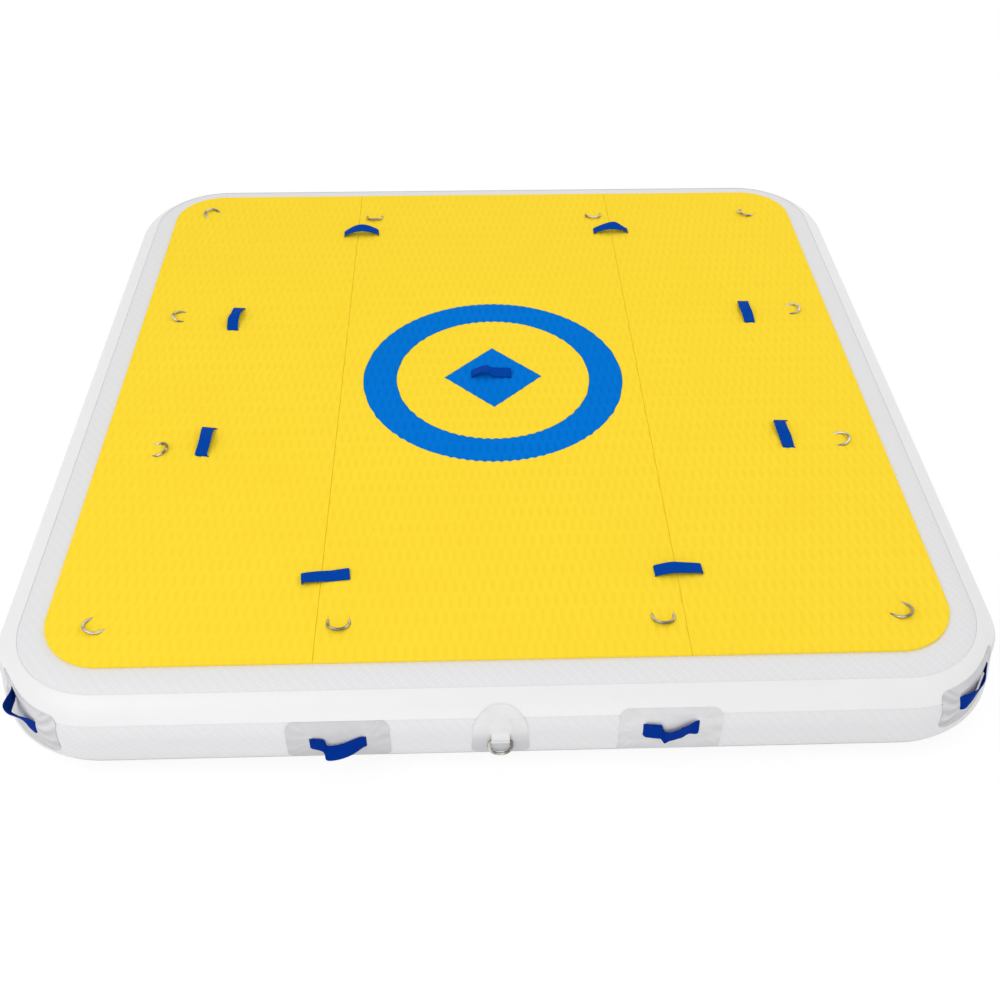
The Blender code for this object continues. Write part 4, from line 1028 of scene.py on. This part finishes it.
def handle_folds(strap, seed, patch):
    """Height of a handle's patch, over the strap's two ends and with slack folds, and where painted shade darkens
    it.
    """
    span, rises, _ = strap
    start, end, half, shift, slack, even_grey = patch
    lapped = (TAPE_THICKNESS + GAP) * (start < TAPE_END)

    def fan(across, travel):
        # Creases fan out from each end of the strap
        rise = np.where(across < 0, *rises)
        turn = (travel - MIDDLE + rise) / (np.abs(np.abs(across) - span / 2) + 0.02)
        past = swelling(-np.abs(across), -span / 2 - 0.012, -span / 2 - 0.002)
        return past, np.sin(turn * 12 + 3 * seed + 1.2 * np.sin(across * 90 + seed))

    def lift(across, travel):
        rim = (swelling(start - travel, -0.016, -0.004) * swelling(travel - end, -0.016, -0.004)
               * swelling(np.abs(across) - half, -0.012, -0.003))
        across = across + shift
        beside = np.abs(travel - MIDDLE + np.where(across < 0, *rises))
        over = swelling(beside, WEB_WIDTH / 2 + 0.001, WEB_WIDTH / 2 + 0.007)
        tab = swelling(np.abs(np.abs(across) - span / 2 - TAB / 2), TAB / 2 + 0.0015, TAB / 2 + 0.006)
        ripple = (np.sin(across * 61 + seed) * np.sin(travel * 47 + 2 * seed)
                  + np.sin(across * 23 - travel * 80 + seed))
        past, crease = fan(across, travel)
        loose = slack * (0.0006 * (1 + 0.5 * ripple) + 0.00050 * past * (1 + crease))
        bonded = np.maximum((WEB_THICKNESS + GAP) * over * tab, loose * rim * (1 - over * (1 - past)))
        return GAP + lapped * over_tape(travel) + bonded

    def grey(across, travel):
        past, crease = fan(across + shift, travel)
        # Painted shade towards the foot, where the wall turns under, and in the hollows of the folds, plus the even
        # grey set for the whole patch
        low = 0.35 * swelling(-travel, -end, -(start + end) / 2)
        return np.clip(low + 0.14 * slack * past * (0.4 - crease) + even_grey, 0, 1)
    return lift, grey


def slit_tool(place, middle, across, rise):
    """A thin box where a strap comes out through its patch."""
    here, above, beside = (
        wall_points(place, np.array(middle + across + aside), np.array(MIDDLE - rise - higher))
        for aside, higher in ((0, 0), (0, 0.001), (0.001, 0)))
    up, along = Vector(above - here).normalized(), Vector(beside - here).normalized()
    axes = Matrix((along.cross(up), along, up)).transposed().to_4x4()
    corner = Vector((0.015, 0.0013, WEB_WIDTH / 2 + 0.0004))
    return box(Matrix.Translation(Vector(here)) @ axes, -corner, corner)


def wall_handles():
    """Patches and carrying straps along the front and back walls and round the corners."""
    for seed, (name, place, middle, strap, patch) in enumerate(WALL_HANDLES):
        tools = [slit_tool(place, middle, way * strap[0] / 2, rise) for way, rise in zip((-1, 1), strap[1])]
        patch_sheet(f"strap_patch_{name}", place, middle + patch[3], *rounded_rows(*patch[:3]),
                    *handle_folds(strap, seed, patch), 65, f"handle_patch_{name}", PATCH_CLOTH, tools)
        discard(*tools)
        wall_strap(f"carry_strap_{name}", place, middle, strap, f"wall_handle_{name}")


def ring_tongue(place):
    """A tongue that lies on the ring's patch under a round top, folds over the bar and goes back under it."""
    bar, top = WIRE_RADIUS + GAP, GAP + PATCH_SHEET + GAP
    half, long, rows = 0.0245, 0.058, 20
    runs = [(drop, top + 0.0056 * swelling(-drop, 0.006, 0.022)) for drop in np.linspace(-long, -0.006, rows)]
    for angle in np.linspace(np.radians(80), np.radians(-90), 12):
        runs.append((-(bar + 0.0004) * math.sin(angle), GAP + PATCH + bar + (bar + 0.0004) * math.cos(angle)))
    runs = np.array([*runs, (0.0018, top - GAP + 0.0001)])
    travel = MIDDLE + runs[:, 0]
    round_top = np.sqrt(half ** 2 - np.clip(travel[0] + half - travel, 0, half - 0.0002) ** 2)
    width = np.minimum(round_top, 0.0172 + 0.0073 * swelling(runs[:, 0], -0.036, -0.018))
    across = width[:, None] * np.linspace(-1, 1, 21)
    points = wall_points(place, RING_SHIFT + across, travel[:, None], runs[:, 1:2])
    piece = sheet_from(f"ring_tongue_{place}", points[::-1], across[::-1], -travel[::-1, None])
    thicken(piece, STRIP, 0.0)
    # Painted shade in a thin line along the tongue's edge
    mark_grey(piece, lambda aside, down: 0.14 * swelling(
        np.interp(down, travel[:rows], width[:rows]) - np.abs(aside), 0.0004, 0.0025))
    finished(smooth(piece, 60), RING_PATCH)


def ring_patches():
    """Round-headed patches, each with a tongue folded round its ring's bar."""
    start, end, half, corner = 0.0875, SECTION - TAPE_END - 0.013, 0.0548, 0.020
    head = start + half * (1 - np.cos(np.linspace(0.16, np.pi / 2, 16)))
    foot = end - corner * (1 - np.cos(np.linspace(0, np.pi / 2, 9)))
    step = np.array((TAPE_END, TAPE_END + 0.0015, TAPE_END + 0.003))
    travels = np.unique(np.concatenate([head, foot, step, np.linspace(head[-1], foot[-1], 12)]))
    past_head = (start + half - travels).clip(0, half)
    past_foot = (travels - end + corner).clip(0, corner)
    halves = np.sqrt(half ** 2 - past_head ** 2) - corner + np.sqrt(corner ** 2 - past_foot ** 2)
    halves = halves * (0.90 + 0.10 * np.clip((travels - start) / (end - corner - start), 0, 1))

    def lift(across, travel):
        return GAP + (TAPE_THICKNESS + GAP) * over_tape(travel)

    def grey(across, travel):
        inside = np.interp(travel, travels, halves) - np.abs(across)
        inside = np.minimum(inside, np.minimum(travel - start, end - travel))
        # Painted shade: a thin darker line along the patch's edge, and darker towards its foot, where the wall
        # turns under
        rim = 0.22 * swelling(inside, 0.0005, 0.0030)
        return np.maximum(rim, 0.70 * swelling(-travel, -end + 0.02, -start - 0.04))
    for place in ("front", "back"):
        patch_sheet(f"ring_patch_cloth_{place}", place, RING_SHIFT, travels, halves, lift, grey, 33,
                    f"ring_patch_{place}", RING_PATCH)
        ring_tongue(place)


# Inflation valve

def valve_spring():
    """A wound steel spring round the stem."""
    low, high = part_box("valve_spring")
    turns, wire = 4, SPRING_WIRE / 2
    length = high[1] - low[1] - 2 * wire
    bpy.ops.mesh.primitive_circle_add(vertices=10, radius=wire, location=(SPRING_RADIUS, 0, 0),
                                      rotation=(math.pi / 2, 0, 0))
    spring = fresh("valve_coil")
    bpy.ops.object.transform_apply()
    modify(spring, "SCREW", axis="Z", angle=2 * math.pi, screw_offset=length / turns, iterations=turns, steps=40,
           render_steps=40, use_merge_vertices=False)
    edited(spring, "rims", bpy.ops.mesh.edge_face_add, lambda: bpy.ops.mesh.select_all(action="SELECT"),
           lambda: bpy.ops.mesh.normals_make_consistent(inside=False))
    middle = ((low[0] + high[0]) / 2, low[1] + wire, (low[2] + high[2]) / 2)
    moved(spring, Matrix.Translation(middle) @ Matrix.Rotation(-math.pi / 2, 4, "X"))
    finished(smooth(spring, 60), SPRING_STEEL, replaces=["valve_spring"])
    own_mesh(spring)


for valve_part in ("body", "nut", "stem", "cap", "seal"):
    for material_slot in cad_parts[f"valve_{valve_part}"].material_slots:
        material_slot.material = SEAL_RUBBER if valve_part == "seal" else VALVE_PLASTIC

chamber()
core()
foam_deck()
rings()
deck_straps()
wall_handles()
ring_patches()
valve_spring()


# Studio

def seen_directly(tree):
    """1 for rays that look at a thing, straight, mirrored or through glass, and 0 for those that light."""
    camera, glossy, through = (add_node(tree, "LightPath", output=f"Is {kind} Ray")
                               for kind in ("Camera", "Glossy", "Transmission"))
    return calculate("MAXIMUM", calculate("MAXIMUM", camera, glossy), through)


def studio():
    """A white floor and plain soft light from all sides."""
    bpy.ops.mesh.primitive_plane_add(size=60, location=(0, 0, 0))
    floor = fresh("studio_floor")
    finish = new_finish("white_floor", Base_Color="F4F4F4", Roughness=0.9)
    tree = finish.node_tree
    glow = add_node(tree, "Emission", {"Color": (1, 1, 1, 1), "Strength": 1.05})
    share = calculate("MULTIPLY", seen_directly(tree), 0.80)
    both = add_node(tree, "MixShader", {0: share, 1: tree.nodes["Principled BSDF"].outputs[0], 2: glow})
    plug(tree.nodes["Material Output"].inputs["Surface"], both)
    floor.data.materials.append(finish)

    world = bpy.data.worlds.new("soft_white")
    bpy.context.scene.world = world
    world.use_nodes = True
    back = world.node_tree.nodes["Background"]
    plug(back.inputs["Color"], (1, 1, 1, 1))
    plug(back.inputs["Strength"], ranged(seen_directly(world.node_tree), 0.80))

    for name, place, power in (("key", (-2.6, -2.2, 4.2), 48), ("fill", (3.0, 1.6, 3.6), 24),
                               ("front", (-0.3, -4.0, 1.3), 16)):
        light = bpy.data.lights.new(name, "AREA")
        light.size = 3.0
        light.energy = power
        lamp = added(name, light)
        lamp.location = place
        lamp.rotation_mode = "QUATERNION"
        lamp.rotation_quaternion = Vector(place).to_track_quat("Z", "Y")


def photographer():
    """The camera where the photograph was taken from, found from the deck's corners."""
    data = bpy.data.cameras.new("camera")
    data.lens, data.sensor_width = 42.737, 36.0
    data.clip_start, data.clip_end = 0.05, 100
    camera = added("camera", data)
    yaw, pitch, roll = 0.037084, 0.750019, -0.0080826
    camera.matrix_world = (Matrix.Translation((-0.0617, -2.3255, 1.9485)) @ Matrix.Rotation(-yaw, 4, "Z")
                           @ Matrix.Rotation(math.pi / 2 - pitch, 4, "X") @ Matrix.Rotation(-roll, 4, "Z"))
    bpy.context.scene.camera = camera


studio()
photographer()
bpy.context.scene.view_settings.view_transform = "Standard"
